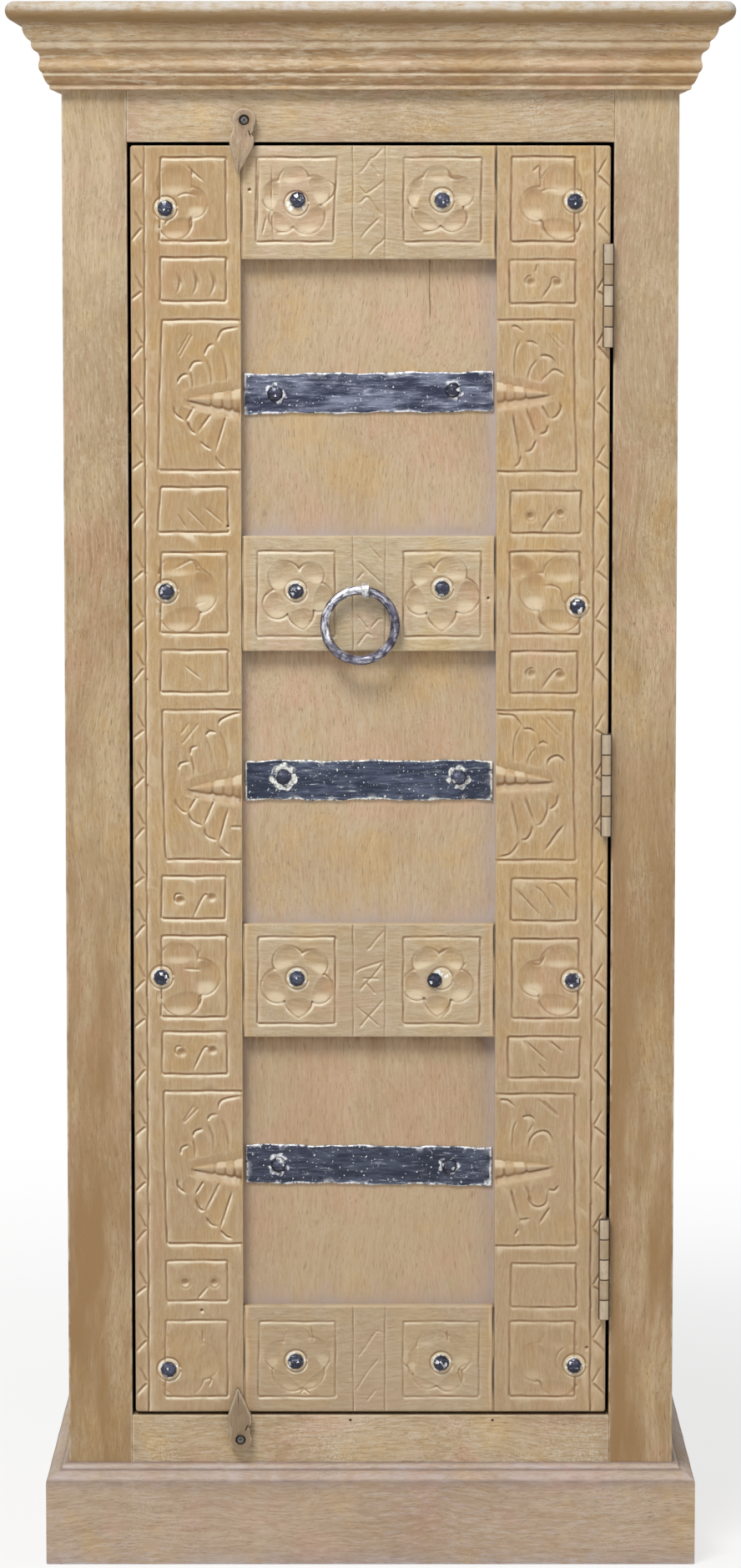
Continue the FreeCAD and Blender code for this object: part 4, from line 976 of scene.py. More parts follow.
# The left stile.
face = uncut_face(DOOR_LOW, (STILE_INNER["left"], DOOR_HIGH[1]))
zigzag_border(face, -200, DOOR_LOW[0], (1241, 1190) + TACKS)
for left, right, bottom, top in (((-186.6, -185.6), (-127.2, -128), 1191, 1264.6),
        ((-186, -186), (-128, -127.6), 1138, 1176.5), ((-189, -186.4), (-126, -127), 933, 973),
        ((-187, -186), (-127, -127.4), 843, 915), ((-187, -186.6), (-126.6, -127), 790, 827.6),
        ((-187, -187), (-130, -130), 586, 624.4), ((-187.6, -187), (-129, -129), 497, 570.5),
        ((-187, -187), (-128.6, -129), 445, 483.5), ((-184, -184), (-129, -129), 238, 275),
        ((-185.6, -185), (-129, -129), 150, 220)):
    sunk_square(face, left, right, bottom, top, depth=1.0 if bottom < 240 else 1.35)
for left, bottom, top in (((-188, -184.4), 988, 1121.5), ((-183, -185.6), 639.5, 774), ((-183, -185.6), 290.4, 429.6)):
    sunk_square(face, left, (-113, -113), bottom, top, open_side="right", slant=(0.8, 0))

# Its half flowers, which open from the nails at its outer side.
half_flower(face, [-187, 1236, -173, 1257, -159, 1238, -145, 1224, -158.6, 1211.6, -168, 1194, -187, 1203])
cut_all(face, [[-163, 1259, -157, 1252, -147, 1243], [-159, 1255, -157, 1247.5], [-173, 1229.6, -164, 1233, -152, 1231],
    [-148, 1215.6, -158.6, 1212, -160.6, 1196.4], [-177, 1212, -183, 1205]], 2.4, 1.4)
half_flower(face, [-188, 896, -172, 912, -155, 899, -137, 882, -152, 861, -165, 845, -188, 862])
cut_all(face, [[-181, 898, -172, 902, -158, 908, -150, 900, -138, 892], [-158, 907.6, -153, 900],
    [-157, 868, -146, 872], [-144, 864.4, -151.6, 861, -153, 854, -156, 846.4]], 2.2, 1.3)
half_flower(face, [-188, 550, -172, 565, -155, 549, -136, 533, -152, 517, -166, 499, -188, 514])
cut_all(face, [[-153.4, 559, -155, 547.6], [-170, 541, -150, 540], [-143.6, 522, -153, 516, -154.4, 510, -155, 502]],
    2.2, 1.3)
half_flower(face, [-187, 194, -170, 212, -152, 199, -137, 182, -151, 166, -166, 151, -187, 160], 0.8)
cut_all(face, [[-152, 212, -151, 200], [-151, 166, -144, 166, -147, 158]], 2.2, 1.2)

# Its bars: crescents, slanting leaves, and hooks that end in a small hollow.
for crescent in ([-173.4, 1165.6, -170, 1157, -170, 1151, -172.6, 1144],
        [-159, 1167, -155.4, 1160, -155, 1151, -158.6, 1143], [-144, 1166.4, -140, 1159, -139.6, 1151, -143.6, 1141]):
    gouge(face, crescent, 4.4, 1.7, 0.55, (0.45, 0.45), 0.7)
cut_all(face, [[-173, 951, -163, 935], [-166.4, 957, -144, 934], [-150, 957, -130, 940], [-168, 815, -150, 801]], 2.6,
    1, 0.3)
for height in (603, 465):
    cut_all(face, [[-167, height + 5, -174, height + 5, -175.4, height, -172, height - 4],
        [-141, height + 2, -145, height + 4, -150, height + 3, -160, height - 18]], 2.6, 1.4)
for spot in ((-170.5, 603), (-142.5, 605.5), (-169.5, 465), (-142, 467), (-167.4, 255), (-141, 255)):
    hollow(face, spot, (4.6, 4.2), 0, 1.5, 0.6)
scribed_ring(face, (-167.4, 255), 5.4)
scribed_ring(face, (-141, 255), 5)
gouge(face, [-146, 252, -157, 239], 2.4, 1.3)


def fan(face, hatches, scallops, divisions, lower, scoops):
    """A winged fan: light hatches in its corner, scallops above, and folded feathers below."""
    for centre, radii, turn in scoops:
        hollow(face, centre, radii, turn, 0.8, 0.3)
    cut_all(face, hatches, 2.3, 1.1, 0, (0.1, 0.1), 0.75)
    cut_all(face, scallops, 2.8, 1.7, -0.3, (0.15, 0.3))
    cut_all(face, divisions, 2.4, 1.3, 0, (0.2, 0.3), 0.8)
    cut_all(face, lower, 2.8, 1.6, 0, (0.2, 0.25))


fan(face, [[-160, 1111, -171.6, 1091], [-157.6, 1109.6, -170, 1087.6]],
    [[-136.4, 1102, -134, 1109, -130, 1113, -115.4, 1115.6], [-147.6, 1090, -146, 1095, -143, 1099, -138, 1100.4],
    [-161, 1076, -159.6, 1080.4, -156, 1084.4, -147.6, 1085], [-171.6, 1065, -170, 1069.6, -166, 1073, -161, 1073.4]],
    [[-135, 1099, -130.6, 1088, -127.6, 1072, -127.6, 1059], [-147, 1089, -142.4, 1077, -141, 1066, -142, 1059],
    [-160, 1076, -158, 1066, -157.6, 1057]],
    [[-175, 1046, -173, 1038, -165, 1032], [-156, 1046, -164.4, 1031], [-163, 1032, -159, 1023, -154, 1020.6],
    [-141, 1039, -154, 1021], [-152, 1014, -146, 1009, -141, 1006.4], [-128, 1040, -129, 1034, -138, 1004],
    [-138, 1001, -134, 994, -128, 990]],
    [((-151, 1070), (12, 6.5), 100), ((-134, 1080), (17, 6.5), 98), ((-120, 1092), (18, 6), 92),
    ((-166, 1062), (8, 5), 100), ((-165, 1040), (9, 6), 60), ((-151, 1030), (14, 6.5), 62), ((-137, 1018), (18, 7), 68),
    ((-122, 1006), (18, 6), 80)])
fan(face, [[-162, 763, -170, 752], [-153, 763, -169, 743]],
    [[-136, 760, -134, 765, -124, 770, -113, 772], [-147.6, 751, -144, 755, -137, 754],
    [-161, 734, -160, 740, -154, 742], [-171.6, 721, -170, 726, -161, 728.4]],
    [[-136, 758, -131, 745, -128, 730, -128, 718], [-148, 750, -143, 738, -141, 722],
    [-161, 733, -158, 722, -158, 714]],
    [[-174.4, 695, -173.6, 689, -168, 683, -163, 682.4], [-155, 697, -163, 683],
    [-163, 682, -160, 675, -153, 671, -150, 671], [-139, 695, -149, 671],
    [-149, 669, -147, 661, -140, 657.6, -137, 658], [-127, 687, -136, 654], [-135, 652, -130, 646, -125, 644],
    [-126, 669, -113, 669]],
    [((-151, 727), (12, 6.5), 100), ((-134, 738), (17, 6.5), 98), ((-120, 750), (18, 6), 92),
    ((-165, 718), (8, 5), 100), ((-165, 692), (8, 6), 60), ((-151, 684), (13, 6.5), 62), ((-137, 672), (17, 7), 68),
    ((-122, 656), (12, 6), 80)])
fan(face, [[-158.6, 417, -170, 401], [-154.4, 415, -169, 400]],
    [[-137, 412, -136, 419, -130, 423, -113, 426], [-147, 403, -144, 407.6, -137, 409],
    [-160, 388, -158, 393, -150, 396], [-171, 372, -170, 378, -163, 381]],
    [[-136, 409, -131, 396, -128, 382, -128, 370], [-147, 401, -142, 388, -141, 374],
    [-160, 386, -158, 376, -158, 367]],
    [[-174, 350, -173, 342, -166, 336], [-150, 348, -158, 335], [-158, 332, -154, 322, -149, 321],
    [-135, 348, -148.4, 321], [-148.4, 315, -144, 308, -137, 306.4], [-124, 340, -136, 303],
    [-136, 303, -130, 297, -124, 295]],
    [((-151, 380), (12, 6.5), 100), ((-134, 390), (17, 6.5), 98), ((-120, 402), (18, 6), 92),
    ((-164, 374), (8, 6.5), 100), ((-164, 344), (8, 6), 60), ((-151, 336), (13, 6.5), 62), ((-137, 324), (18, 7), 68),
    ((-122, 312), (14, 6), 80)])
spindle_and_ground(face, -115, -1, 1050, (-164, 1051), 11)
spindle_and_ground(face, -115, -1, 705.5, (-164, 703), 11)
spindle_and_ground(face, -115, -1, 359, (-162, 359), 9.5)
for nail in ((-181.5, 1220), (-182, 880), (-187.5, 533), (-182.5, 175)):
    nail_seat(face, nail, 10.4)
for pin_hole in ((-127, 938), (-152.4, 229)):
    hollow(face, pin_hole, (1.5, 1.5), 0, 3, 0.6)
stile = carved_board("door_stile_carved_left", face, carved_upright, (2.4, 0.8, 2.4, 2.4),
                     [DOOR_LOW, (DOOR_LOW[0], DOOR_HIGH[1])])
keep(stile, "door", "carved_wood", "door_stile_left")

# The right stile, with the same motives and strokes of its own.
face = uncut_face((STILE_INNER["right"], DOOR_LOW[1]), DOOR_HIGH)
zigzag_border(face, 199, DOOR_HIGH[0], (1238, 1194) + TACKS)
for left, right, bottom, top in (((124.6, 125), (181, 181), 1190.5, 1265), ((123.5, 123.5), (182, 182), 1136, 1174.4),
        ((125, 125), (187, 188), 932, 969.6), ((124.4, 124.4), (187, 186.6), 842, 915.6),
        ((125, 125), (185, 185), 789, 826.4), ((126.4, 126.4), (185, 185), 584, 622),
        ((127.4, 127.4), (187, 187), 495.6, 567.6), ((124, 124), (188, 189), 441.6, 479),
        ((127, 127), (186, 186), 232, 272), ((126, 126), (185, 185), 150, 219)):
    sunk_square(face, left, right, bottom, top, depth=1.1 if bottom < 240 else 1.35)
for right, bottom, top in (((184, 181), 987, 1121.4), ((184, 182), 639, 773.6), ((186, 184), 288.4, 427)):
    sunk_square(face, (110, 110), right, bottom, top, open_side="left", slant=(0, 0.8))
ruled_cut(face, (184.6, 1196), (183.8, 1262), width=1.8, depth=0.8)

half_flower(face, [186, 1236, 168, 1258, 151, 1238, 133, 1224, 151, 1209, 166, 1193, 186, 1206])
cut_all(face, [[143, 1252, 150, 1258], [150, 1258, 150, 1243], [148, 1234, 158, 1237, 168, 1236],
    [140, 1214, 151, 1209, 154, 1202, 158, 1194]], 2.4, 1.4)
half_flower(face, [188, 890, 171, 911, 154, 896, 133, 880, 150, 863, 167, 845, 188, 858])
hollow(face, (137, 903), (14, 9), -35, 1.3, 0.45)
hollow(face, (131, 897), (8, 5), 10, 1, 0.35)
cut_all(face, [[150, 884, 160, 885.6, 169, 882, 172, 872, 178, 860], [143, 868, 149, 861, 152, 852, 158, 846]], 2.2,
    1.4)
half_flower(face, [187, 545, 170, 562, 153, 547, 134, 532, 151, 516, 166, 499, 187, 512])
cut_all(face, [[138, 523, 150, 520, 151, 510, 153, 504], [140, 546, 152, 545, 158, 556]], 2.2, 1.3)
half_flower(face, [186, 197, 170, 212, 154, 199, 134, 182, 153, 164, 168, 151, 186, 160], 0.9)
cut_all(face, [[146, 166, 154, 163, 157, 152], [179, 198, 170, 190, 168, 180, 174, 168]], 2.2, 1.1)

cut_all(face, [[138, 1152, 137.4, 1157, 141, 1160, 144, 1159.4], [148, 1171, 146, 1163],
    [170, 1155, 166, 1158.4, 161, 1158, 159, 1151, 151, 1139], [140, 803, 139, 808, 143, 811.4, 147, 811],
    [174, 806, 170, 810, 165, 809, 159, 802, 151.6, 791]], 2.6, 1.4)
for spot in ((142, 1155), (165.5, 1154.5), (143.6, 807), (169.4, 805.4), (142.6, 947.6), (169, 950)):
    hollow(face, spot, (4.6, 4.2), 0, 1.5, 0.6)
scribed_ring(face, (142.6, 947.6), 5)
scribed_ring(face, (169, 950), 5.4)
cut_all(face, [[164.4, 953, 151, 933], [128, 615, 154, 587], [145, 616, 154, 610, 166, 592],
    [158, 617.6, 168, 616, 181, 600], [138, 476, 160, 456], [160, 476, 174, 464], [150, 455, 158, 445]], 2.8, 1.2, 0.3)
cut_all(face, [[137, 262, 141, 254, 139, 243], [151, 263, 155, 254, 152, 243], [166, 262, 170, 254, 168, 243]], 2.4,
    0.6, 0.4, (0.45, 0.45), 0.5)

fan(face, [[156, 1111, 169, 1095], [161, 1110, 173, 1098]],
    [[125, 1116, 130, 1115.6, 136, 1111], [138, 1102.4, 144, 1102, 149, 1099],
    [150, 1089.6, 156, 1090, 162, 1087, 165, 1080], [160, 1077, 166, 1077, 173, 1072]],
    [[135, 1106, 129, 1094, 128, 1080, 128, 1068], [149, 1087, 142, 1078, 139.4, 1066],
    [163, 1078, 154, 1070, 150, 1065]],
    [[168, 1049, 169, 1042, 164, 1035, 159, 1035], [158, 1029, 156, 1022, 149, 1019.6],
    [148, 1016, 143, 1006, 136, 1004.4], [134, 1001, 132, 994, 127, 990.4], [152, 1046, 160, 1032],
    [138, 1044, 148, 1018], [126, 1040, 133, 1003]],
    [((150, 1076), (12, 6.5), 62), ((135, 1086), (15, 6.5), 78), ((121, 1096), (17, 6), 90), ((162, 1042), (8, 6), 120),
    ((149, 1032), (13, 6.5), 112), ((136, 1020), (17, 7), 105), ((121, 1008), (17, 6), 96)])
fan(face, [[152, 768, 168, 750], [158, 768, 171, 753]],
    [[112, 771, 118, 770, 128, 769, 134, 762, 138, 756], [136, 757, 143, 757, 148, 753],
    [150, 743, 154, 745.6, 159, 743], [158, 724, 160, 730, 167, 733, 173, 729, 174, 722]],
    [[134, 760, 129, 748, 128, 736, 128, 724], [149, 741, 142, 732, 140, 722]],
    [[168, 699, 167, 691, 163, 686, 159, 685.6], [158, 694, 158, 682, 153, 672, 147, 670.4],
    [145, 671, 144, 664, 140, 658, 134, 657], [133, 656, 130, 650, 124, 644, 113, 641.6], [138, 697, 147, 672],
    [126, 694, 134, 658], [174, 672, 155, 646], [170, 668, 160, 653]],
    [((150, 732), (11, 6.5), 62), ((135, 742), (15, 6.5), 78), ((121, 752), (17, 6), 90), ((162, 693), (7, 6), 120),
    ((150, 684), (12, 6.5), 112), ((137, 675), (16, 7), 105), ((122, 662), (17, 6), 96)])
fan(face, [[150, 423, 170, 406], [155, 421, 170, 408]],
    [[116, 422, 124, 421, 130, 415], [136, 406, 144, 407, 149, 402],
    [142, 376, 144, 386, 150, 392, 158, 393, 163, 388, 166, 380]],
    [[134, 406, 129, 396, 128, 384, 128, 370], [147, 400, 141, 390]],
    [[144, 340, 143, 330, 149, 324, 158, 327, 160, 340], [160, 340, 166, 339, 170, 344], [134, 312, 144, 313],
    [130, 298, 134, 304], [162, 324, 152, 308], [140, 344, 146, 326], [126, 342, 134, 312]],
    [((153, 382), (9, 8), 80), ((135, 392), (15, 6.5), 78), ((121, 402), (17, 6), 90), ((151, 335), (9, 7.5), 100),
    ((137, 328), (14, 7), 105), ((122, 314), (17, 6), 96)])
spindle_and_ground(face, 112, 1, 1057.5, (160, 1055.6), 9.5)
spindle_and_ground(face, 112, 1, 715.5, (164, 710), 9)
spindle_and_ground(face, 112, 1, 358.5, (165, 361), 9)
for nail in ((181, 1226), (184.5, 867), (181.5, 530), (184.5, 178.5)):
    nail_seat(face, nail, 10.4)
hollow(face, (195.4, 195), (1.5, 1.5), 0, 3, 0.6)
stile = carved_board("door_stile_carved_right", face, carved_upright, (0.8, 2.4, 2.4, 2.4),
                     [(DOOR_HIGH[0], DOOR_LOW[1]), DOOR_HIGH])
keep(stile, "door", "carved_wood", "door_stile_right")


# The four rails, each with two rosettes in sunk squares and an upright band of crossed lines between.
carved_level = wood("carved_level_wood", "x", (188, 170, 138), (160, 134, 100), (218, 206, 186),
                    17.9, figure=0.25, patches=0.4, limed=0.4, pores=0.3, finish=carved_finish)
RAIL_SPAN = {"top": (1175.0, 1275.2), "upper": (827.0, 929.5), "lower": (479.0, 581.0), "bottom": (136.0, 233.0)}
SQUARE_SPAN = {"top": (1190.5, 1264.5), "upper": (840.0, 916.0), "lower": (491.0, 569.5), "bottom": (150.0, 219.0)}


def lattice_band(face, bottom, top, strokes, depth):
    """The two upright lines at a rail's middle, and the crossed strokes between them."""
    for line_x in (-15.5, 13.2):
        ruled_cut(face, (line_x, bottom - 1), (line_x, top + 1), width=2.4, depth=1.0, ends=0.3)
    cut_all(face, strokes, 2.4, depth, 0.0, (0.12, 0.12), 0.9)


LATTICE = {
    "top": [[-12.5, 1251.5, -8.7, 1251.9, -3.9, 1257.7, 0.2, 1263.5, 3.7, 1265.2, 12.3, 1274.5],
        [0.2, 1259.4, 7.8, 1248.8], [-11.8, 1241.6, -6, 1234.4, -2.5, 1233.7, 9.2, 1241.9, 12.6, 1246],
        [-12.9, 1224.8, -8.7, 1225.4, -3.2, 1229.9, 0.9, 1226.1, 8.5, 1215.8, 12.3, 1216.5],
        [-8.7, 1192.8, -3.9, 1200, 8.5, 1212.1], [-1.8, 1179.1, 4.4, 1186.3, 10.6, 1191.1, 12.6, 1195.2]],
    "upper": [[-1.8, 921.7, 3.7, 915.5, 10.6, 907.9], [-12.2, 907.2, -7.3, 904.1, -1.8, 898.6, 11.3, 886.2],
        [-12.2, 890.7, -6, 897.9], [-12.2, 858.7, -7.3, 853.9, -1.8, 846.3],
        [0.2, 847.7, 4.4, 852.5, 7.1, 855.3, 12, 856], [-12.2, 831.1, -7.3, 838, -2.5, 842.8, 2.3, 839.4]],
    "lower": [[-4.6, 557.1, -0.3, 560.3, 4.7, 566.7, 13.3, 576.7],
        [-13.5, 536.8, -10.3, 540.3, 7.6, 546.4, 12.9, 548.2], [-11, 519.6, -4.6, 527.5, 1.9, 533.9, 12.6, 547.4],
        [-8.1, 532.1, 8.3, 531.8], [-3.9, 528.2, 4.7, 517.5], [-14.2, 509.3, -8.9, 503.2, -1.7, 497.5, 9, 487.6],
        [-11, 486.1, -2.4, 496.8, 5.4, 505.4, 12.6, 513.9]],
    "bottom": [[-12.4, 185.6, -7, 192.3, 3.8, 208.5, 6.5, 210.2, 12.5, 209.2],
        [-14.1, 154.5, -9.1, 162.6, -2.3, 173.4, 8.5, 186.2], [-3.7, 145.8, 1.7, 152.5, 5.1, 157.2]],
}


def five_lobes(centre, notches, reach):
    """The arcs of a five-lobed flower, from its centre, its notches and how far its lobes reach."""
    arcs = []
    for index, first in enumerate(notches):
        last = notches[(index + 1) % 5]
        one = math.atan2(first[1] - centre[1], first[0] - centre[0])
        two = math.atan2(last[1] - centre[1], last[0] - centre[0])
        turn = (two - one + math.pi) % (2 * math.pi) - math.pi
        tip = (centre[0] + reach * math.cos(one + turn / 2), centre[1] + reach * math.sin(one + turn / 2))
        arcs.append((first, tip, last))
    return arcs


ROSETTES = {
    "top": [((-65, 1226), [(-68.4, 1203.6), (-87, 1218), (-81, 1244), (-55, 1247), (-44, 1223)], 31),
            ((62.5, 1227), [(62.4, 1204.4), (38, 1220), (47, 1247), (71.6, 1246), (82, 1221)], 30)],
    "upper": [((-66, 878), [(-63.5, 899), (-85.2, 881.3), (-73.8, 859.9), (-50.8, 863), (-44, 887.4)], 32),
              ((64, 878.5), [(57.1, 899.1), (41, 885.1), (50.3, 861.1), (76.3, 861.9), (85.1, 891.4)], 33)],
    "lower": [((-65.5, 530), [(-61.4, 553.8), (-85.5, 540), (-76.8, 511.4), (-52.6, 510.8), (-42.7, 535.4)], 33),
              ((60.5, 530), [(61.7, 553.4), (39.9, 539.7), (48.3, 513.7), (72, 512.6), (80.4, 539.7)], 32)],
    "bottom": [((-66, 184), [(-55, 204), (-78, 200), (-88, 176), (-62, 158), (-42, 176)], 29),
               ((63, 183), [(69.5, 205), (42, 196), (38, 170), (60, 160), (82, 174)], 29)],
}
STRAY_CUTS = {
    "top": [[-86, 1188, -87.5, 1225, -87, 1262], [-100, 1192, -98.6, 1262], [-96, 1196, -92, 1214],
        [50, 1252, 41, 1243], [68, 1255, 71.6, 1246, 86, 1247], [33, 1227, 38, 1220, 45, 1219.6],
        [93, 1226.4, 82, 1221, 85.6, 1212, 83, 1201], [44, 1198.6, 54, 1200, 62.4, 1204.4],
        [62.4, 1204.4, 67, 1201, 73, 1198], [-84, 1198, -74, 1200, -68.4, 1203.6],
        [-68.4, 1203.6, -65, 1201, -54, 1197.6], [-41, 1246, -32, 1240, -33, 1232, -40, 1225, -46, 1222.4, -53, 1224]],
    "upper": [[58, 900, 51, 907.6], [88, 863, 96, 869, 97, 878, 90, 888]],
    "lower": [[62, 554, 69, 559], [37, 517, 48.6, 514, 50, 508], [86, 514, 73, 512, 71, 504, 63, 496],
        [81, 539, 86, 547]],
    "bottom": [[-54, 215, -51, 200], [-64, 152, -60, 156, -54, 152], [69, 212, 70, 200], [94, 183, 80, 174, 85, 156],
        [28, 182, 38, 172, 38, 164]],
}
NAIL_RINGS = {"top": ((-65.6, 1224.0), (63.5, 1227.0)), "upper": ((-66.5, 880.5), (64.0, 883.0)),
              "lower": ((-66.0, 532.0), (64.0, 532.0)), "bottom": ((-67.5, 182.5), (64.0, 181.0))}
PIN_HOLES = {"top": (-107, 1236), "upper": (105, 874)}

for rail, (low, high) in RAIL_SPAN.items():
    face = uncut_face((STILE_INNER["left"] + 0.4, low), (STILE_INNER["right"] - 0.4, high))
    bottom, top = SQUARE_SPAN[rail]
    line_depth = 0.85 if rail == "bottom" else 1.2
    for left, right in (((-101.5, -100.5), (-33.0, -29.4) if rail == "top" else (-31.5, -31.5)),
                        ((29.5, 29.5), (98.0, 98.5))):
        sunk_square(face, left, right, bottom, top, width=3.4, depth=line_depth)
    lattice_band(face, low, high, LATTICE[rail], 0.75 if rail == "bottom" else 1.05)
    for centre, notches, reach in ROSETTES[rail]:
        flower(face, five_lobes(centre, notches, reach), {"bottom": 1.0, "top": 1.5}.get(rail, 1.8),
               points=(2,) if rail in ("upper", "lower") else ())
    cut_all(face, STRAY_CUTS[rail], 2.0, 1.3)
    level = face["z"][:, None]
    # Each open joint with the stiles is sunk a little and painted near black: a dark joint with painted shade in it.
    for joint, phase in ((face["low"][0], 0.0), (face["high"][0], 2.0)):
        gap_line = np.clip(1.6 + 0.7 * np.sin(level * 0.11 + phase), 1.0, 2.1)
        gap_line = gap_line * np.clip(1.9 - np.abs(face["x"] - joint), 0, 1)
        face["soil"] = np.maximum(face["soil"], gap_line)
        face["depth"] = np.maximum(face["depth"], 0.8 * gap_line)
    for ring_centre in NAIL_RINGS[rail]:
        nail_seat(face, ring_centre, 10.8 if rail == "top" else 10.0)
    if rail in PIN_HOLES:
        hollow(face, PIN_HOLES[rail], (1.5, 1.5), 0, 3.0, 0.6)
    arrises = (0.8, 0.8, 2.4 if rail == "bottom" else 1.4, 2.4 if rail == "top" else 1.4)
    carved_rail = carved_board("door_rail_carved_" + rail, face, carved_level, arrises, pitch=0.55, most=110000)
    keep(carved_rail, "door", "carved_wood", "door_rail_" + rail)


# Door panels. Three thin boards, one of them glued up of two, held loose in grooves of the stiles
# and rails. Their finish is clear in the middle, greyed along the frame by old dirt and painted shade,
# browned under each rail by dirt and the rail's painted shadow, and duller towards the floor as painted shade.

PANEL_FACE, PANEL_BACK = -140.0, -133.0
PANEL_SPAN = {"top": (929.5, 1175.0), "middle": (581.0, 827.0), "bottom": (233.0, 479.0)}
# How brown each panel is painted under its upper rail, for dirt and the rail's painted shadow, and
# along its left side, as painted shade.
PANEL_SHADE_AND_SOIL = {"top": (1.0, 0.35), "middle": (1.1, 0.1), "bottom": (1.7, 0.5)}


def panel_finish(colour, place):
    clouds = fade(noise(place, 26.0, 4.0, 0.6), 0.3, 0.7, 0.5, 1.0)
    tall = mapped(place, Scale=(1.0, 1.0, 0.08))
    streaky = fade(noise(tall, 330.0, 3.0, 0.6), 0.34, 0.62, 0.5, 1.15)
    # Brown where the panel holds dirt and painted shadow, under the rails and down the sides.
    brown = times(times(attribute(place, "soil"), clouds), streaky)
    # Grey where it holds dirt and painted shade, down the sides and along the foot.
    grey = times(attribute(place, "wear"), clouds)
    colour = blend(times(brown, 0.85, True), colour, (118, 86, 58))
    colour = blend(times(grey, 0.9, True), colour, (188, 176, 173))
    # Painted shade: darker towards the floor.
    return blend(fade(along(place, "Z"), 0.75, 0.2, 0.0, 0.3), colour, (164, 136, 104))


panel_wood = wood("door_panel_wood", "z", (189, 166, 134), (170, 140, 104), (202, 188, 164), 31.9,
                  figure=0.32, patches=0.6, limed=0.45, pores=0.5, finish=panel_finish)


def thin_board(name, x, front, z, back, material, sharp, **values):
    """A board or bar whose front is a grid of places and whose back is flat. values are painted on
    it: a pair of grids each, for the front and for the back."""
    quads, rim = grid_faces(*front.shape)
    after, shift = np.roll(rim, -1), front.size
    walls = np.stack([after, rim, rim + shift, after + shift], -1)
    spots = np.vstack([np.stack([x, y, z], -1).reshape(-1, 3) for y in (front, np.full_like(front, back))])
    mesh = bpy.data.meshes.new(name)
    mesh.from_pydata((spots * MM).tolist(), [], np.vstack([quads, quads[:, ::-1] + shift, walls]).tolist())
    paint(mesh, **values)
    return piece_from(name, mesh, material, sharp)


def panel_board(name, low, high):
    """One panel, browned by dirt and the rail's painted shadow under the rail above it and by painted shade
    in its upper right corner and down its sides, and greyed by dirt along its foot and by dirt and painted
    shade down its sides.
    """
    left, right = STILE_INNER["left"] - 3, STILE_INNER["right"] + 3
    face = uncut_face((left, low - 3), (right, high + 3))
    x, z = np.meshgrid(face["x"], face["z"])
    if name == "top":
        ruled_cut(face, (52.4, high + 2), (52.8, high - 52), width=1.1, depth=0.9, ends=0.5, soil=1.6)
        ruled_cut(face, (52.8, high - 64), (52.2, high - 150), width=0.8, depth=0.25, ends=6.0, soil=0.7)
    from_top = high - z
    from_side = np.maximum(np.minimum(x - STILE_INNER["left"], STILE_INNER["right"] - x), 0)
    from_foot = np.maximum(z - low, 0)
    # Painted shade in the panel's upper right corner, under the rail.
    corner = np.exp(-np.hypot(STILE_INNER["right"] - x, from_top) / 16)
    ragged = 1 + 0.22 * np.sin(x * 0.13 + low) + 0.15 * np.sin(x * 0.41)
    shadow_and_dirt, side_shade = PANEL_SHADE_AND_SOIL[name]
    # The rail's painted shadow and dirt along the top, and painted shade down both sides, more on the left.
    brown = shadow_and_dirt * (0.75 * np.exp(-from_top / (7.5 * ragged)) + 0.5 * corner)
    brown = brown + np.where(x < 0, side_shade, 0.18) * np.exp(-from_side / 10)
    # The bottom panel gets broad painted shade down both sides of its upper part.
    if name == "bottom":
        brown = brown + 0.5 * np.exp(-from_side / 15) * np.exp(-from_top / 60)
    # Grey down the sides, heavier on the right, for dirt and painted shade, and along the foot, for dirt.
    dust_and_shade_weight = np.where(x > 0, 1.25, 0.5)
    grey = dust_and_shade_weight * np.exp(-from_side / 7.5) + 1.3 * np.exp(-from_foot / (8.5 * ragged))
    if name == "top":
        smear = np.exp(-((z - 933.0) / 4.0) ** 2) * (0.5 + 0.5 * np.sin(x * 0.09 + 1.0))
        brown = brown + 0.55 * smear * np.clip(0.7 + 0.5 * np.sin(x * 0.03 - 0.6), 0.2, 1.2)
    face["soil"] = np.maximum(face["soil"], brown)
    across = np.unique(np.concatenate([np.arange(left, right, 3.0), (51.4, 52.1, 52.5, 52.9, 53.6), (right,)]))
    up = np.unique(np.concatenate([np.arange(low - 3, high + 3, 3.0), (high - 1.5, high + 3)]))
    x, z = np.meshgrid(across, up)
    bowed = 0.25 * np.sin((x - left) / (right - left) * math.pi) + 0.06 * np.sin(z * 0.08)
    front = PANEL_FACE + 0.3 - bowed + looked_up(face, face["depth"], x, z)
    soil, dust_and_shade = (looked_up(face, spread, x, z) for spread in (face["soil"], grey))
    bare_back = np.zeros_like(front)
    return thin_board("door_panel_board_" + name, x, front, z, PANEL_BACK, panel_wood, 50,
                      soil=[soil, bare_back], wear=[dust_and_shade, bare_back])


for name, (low, high) in PANEL_SPAN.items():
    keep(panel_board(name, low, high), "door", "panel_wood", "door_panel_" + name)


# Iron straps. Three flat bars drawn out under a hammer, blackened, and nailed across the panels.
# Their edges wander, and are rubbed to bright metal, as are the high spots between the hammer marks.

STRAP_FRONT = -142.5
STRAP_ENDS = (-112.5, 109.5)
STRAP_NAILS = [(-85.0, 1056.0), (73.5, 1059.0), (-78.0, 713.0), (79.0, 712.5), (-83.0, 361.0), (71.0, 360.0)]
STRAP_CHIPS = (0.25, 0.2, 1.0, 0.6, 0.45, 0.25)
STRAPS = {"top": (1055.6, 1057.9, 17.8), "middle": (710.0, 710.0, 17.9), "bottom": (361.9, 359.3, 17.6)}


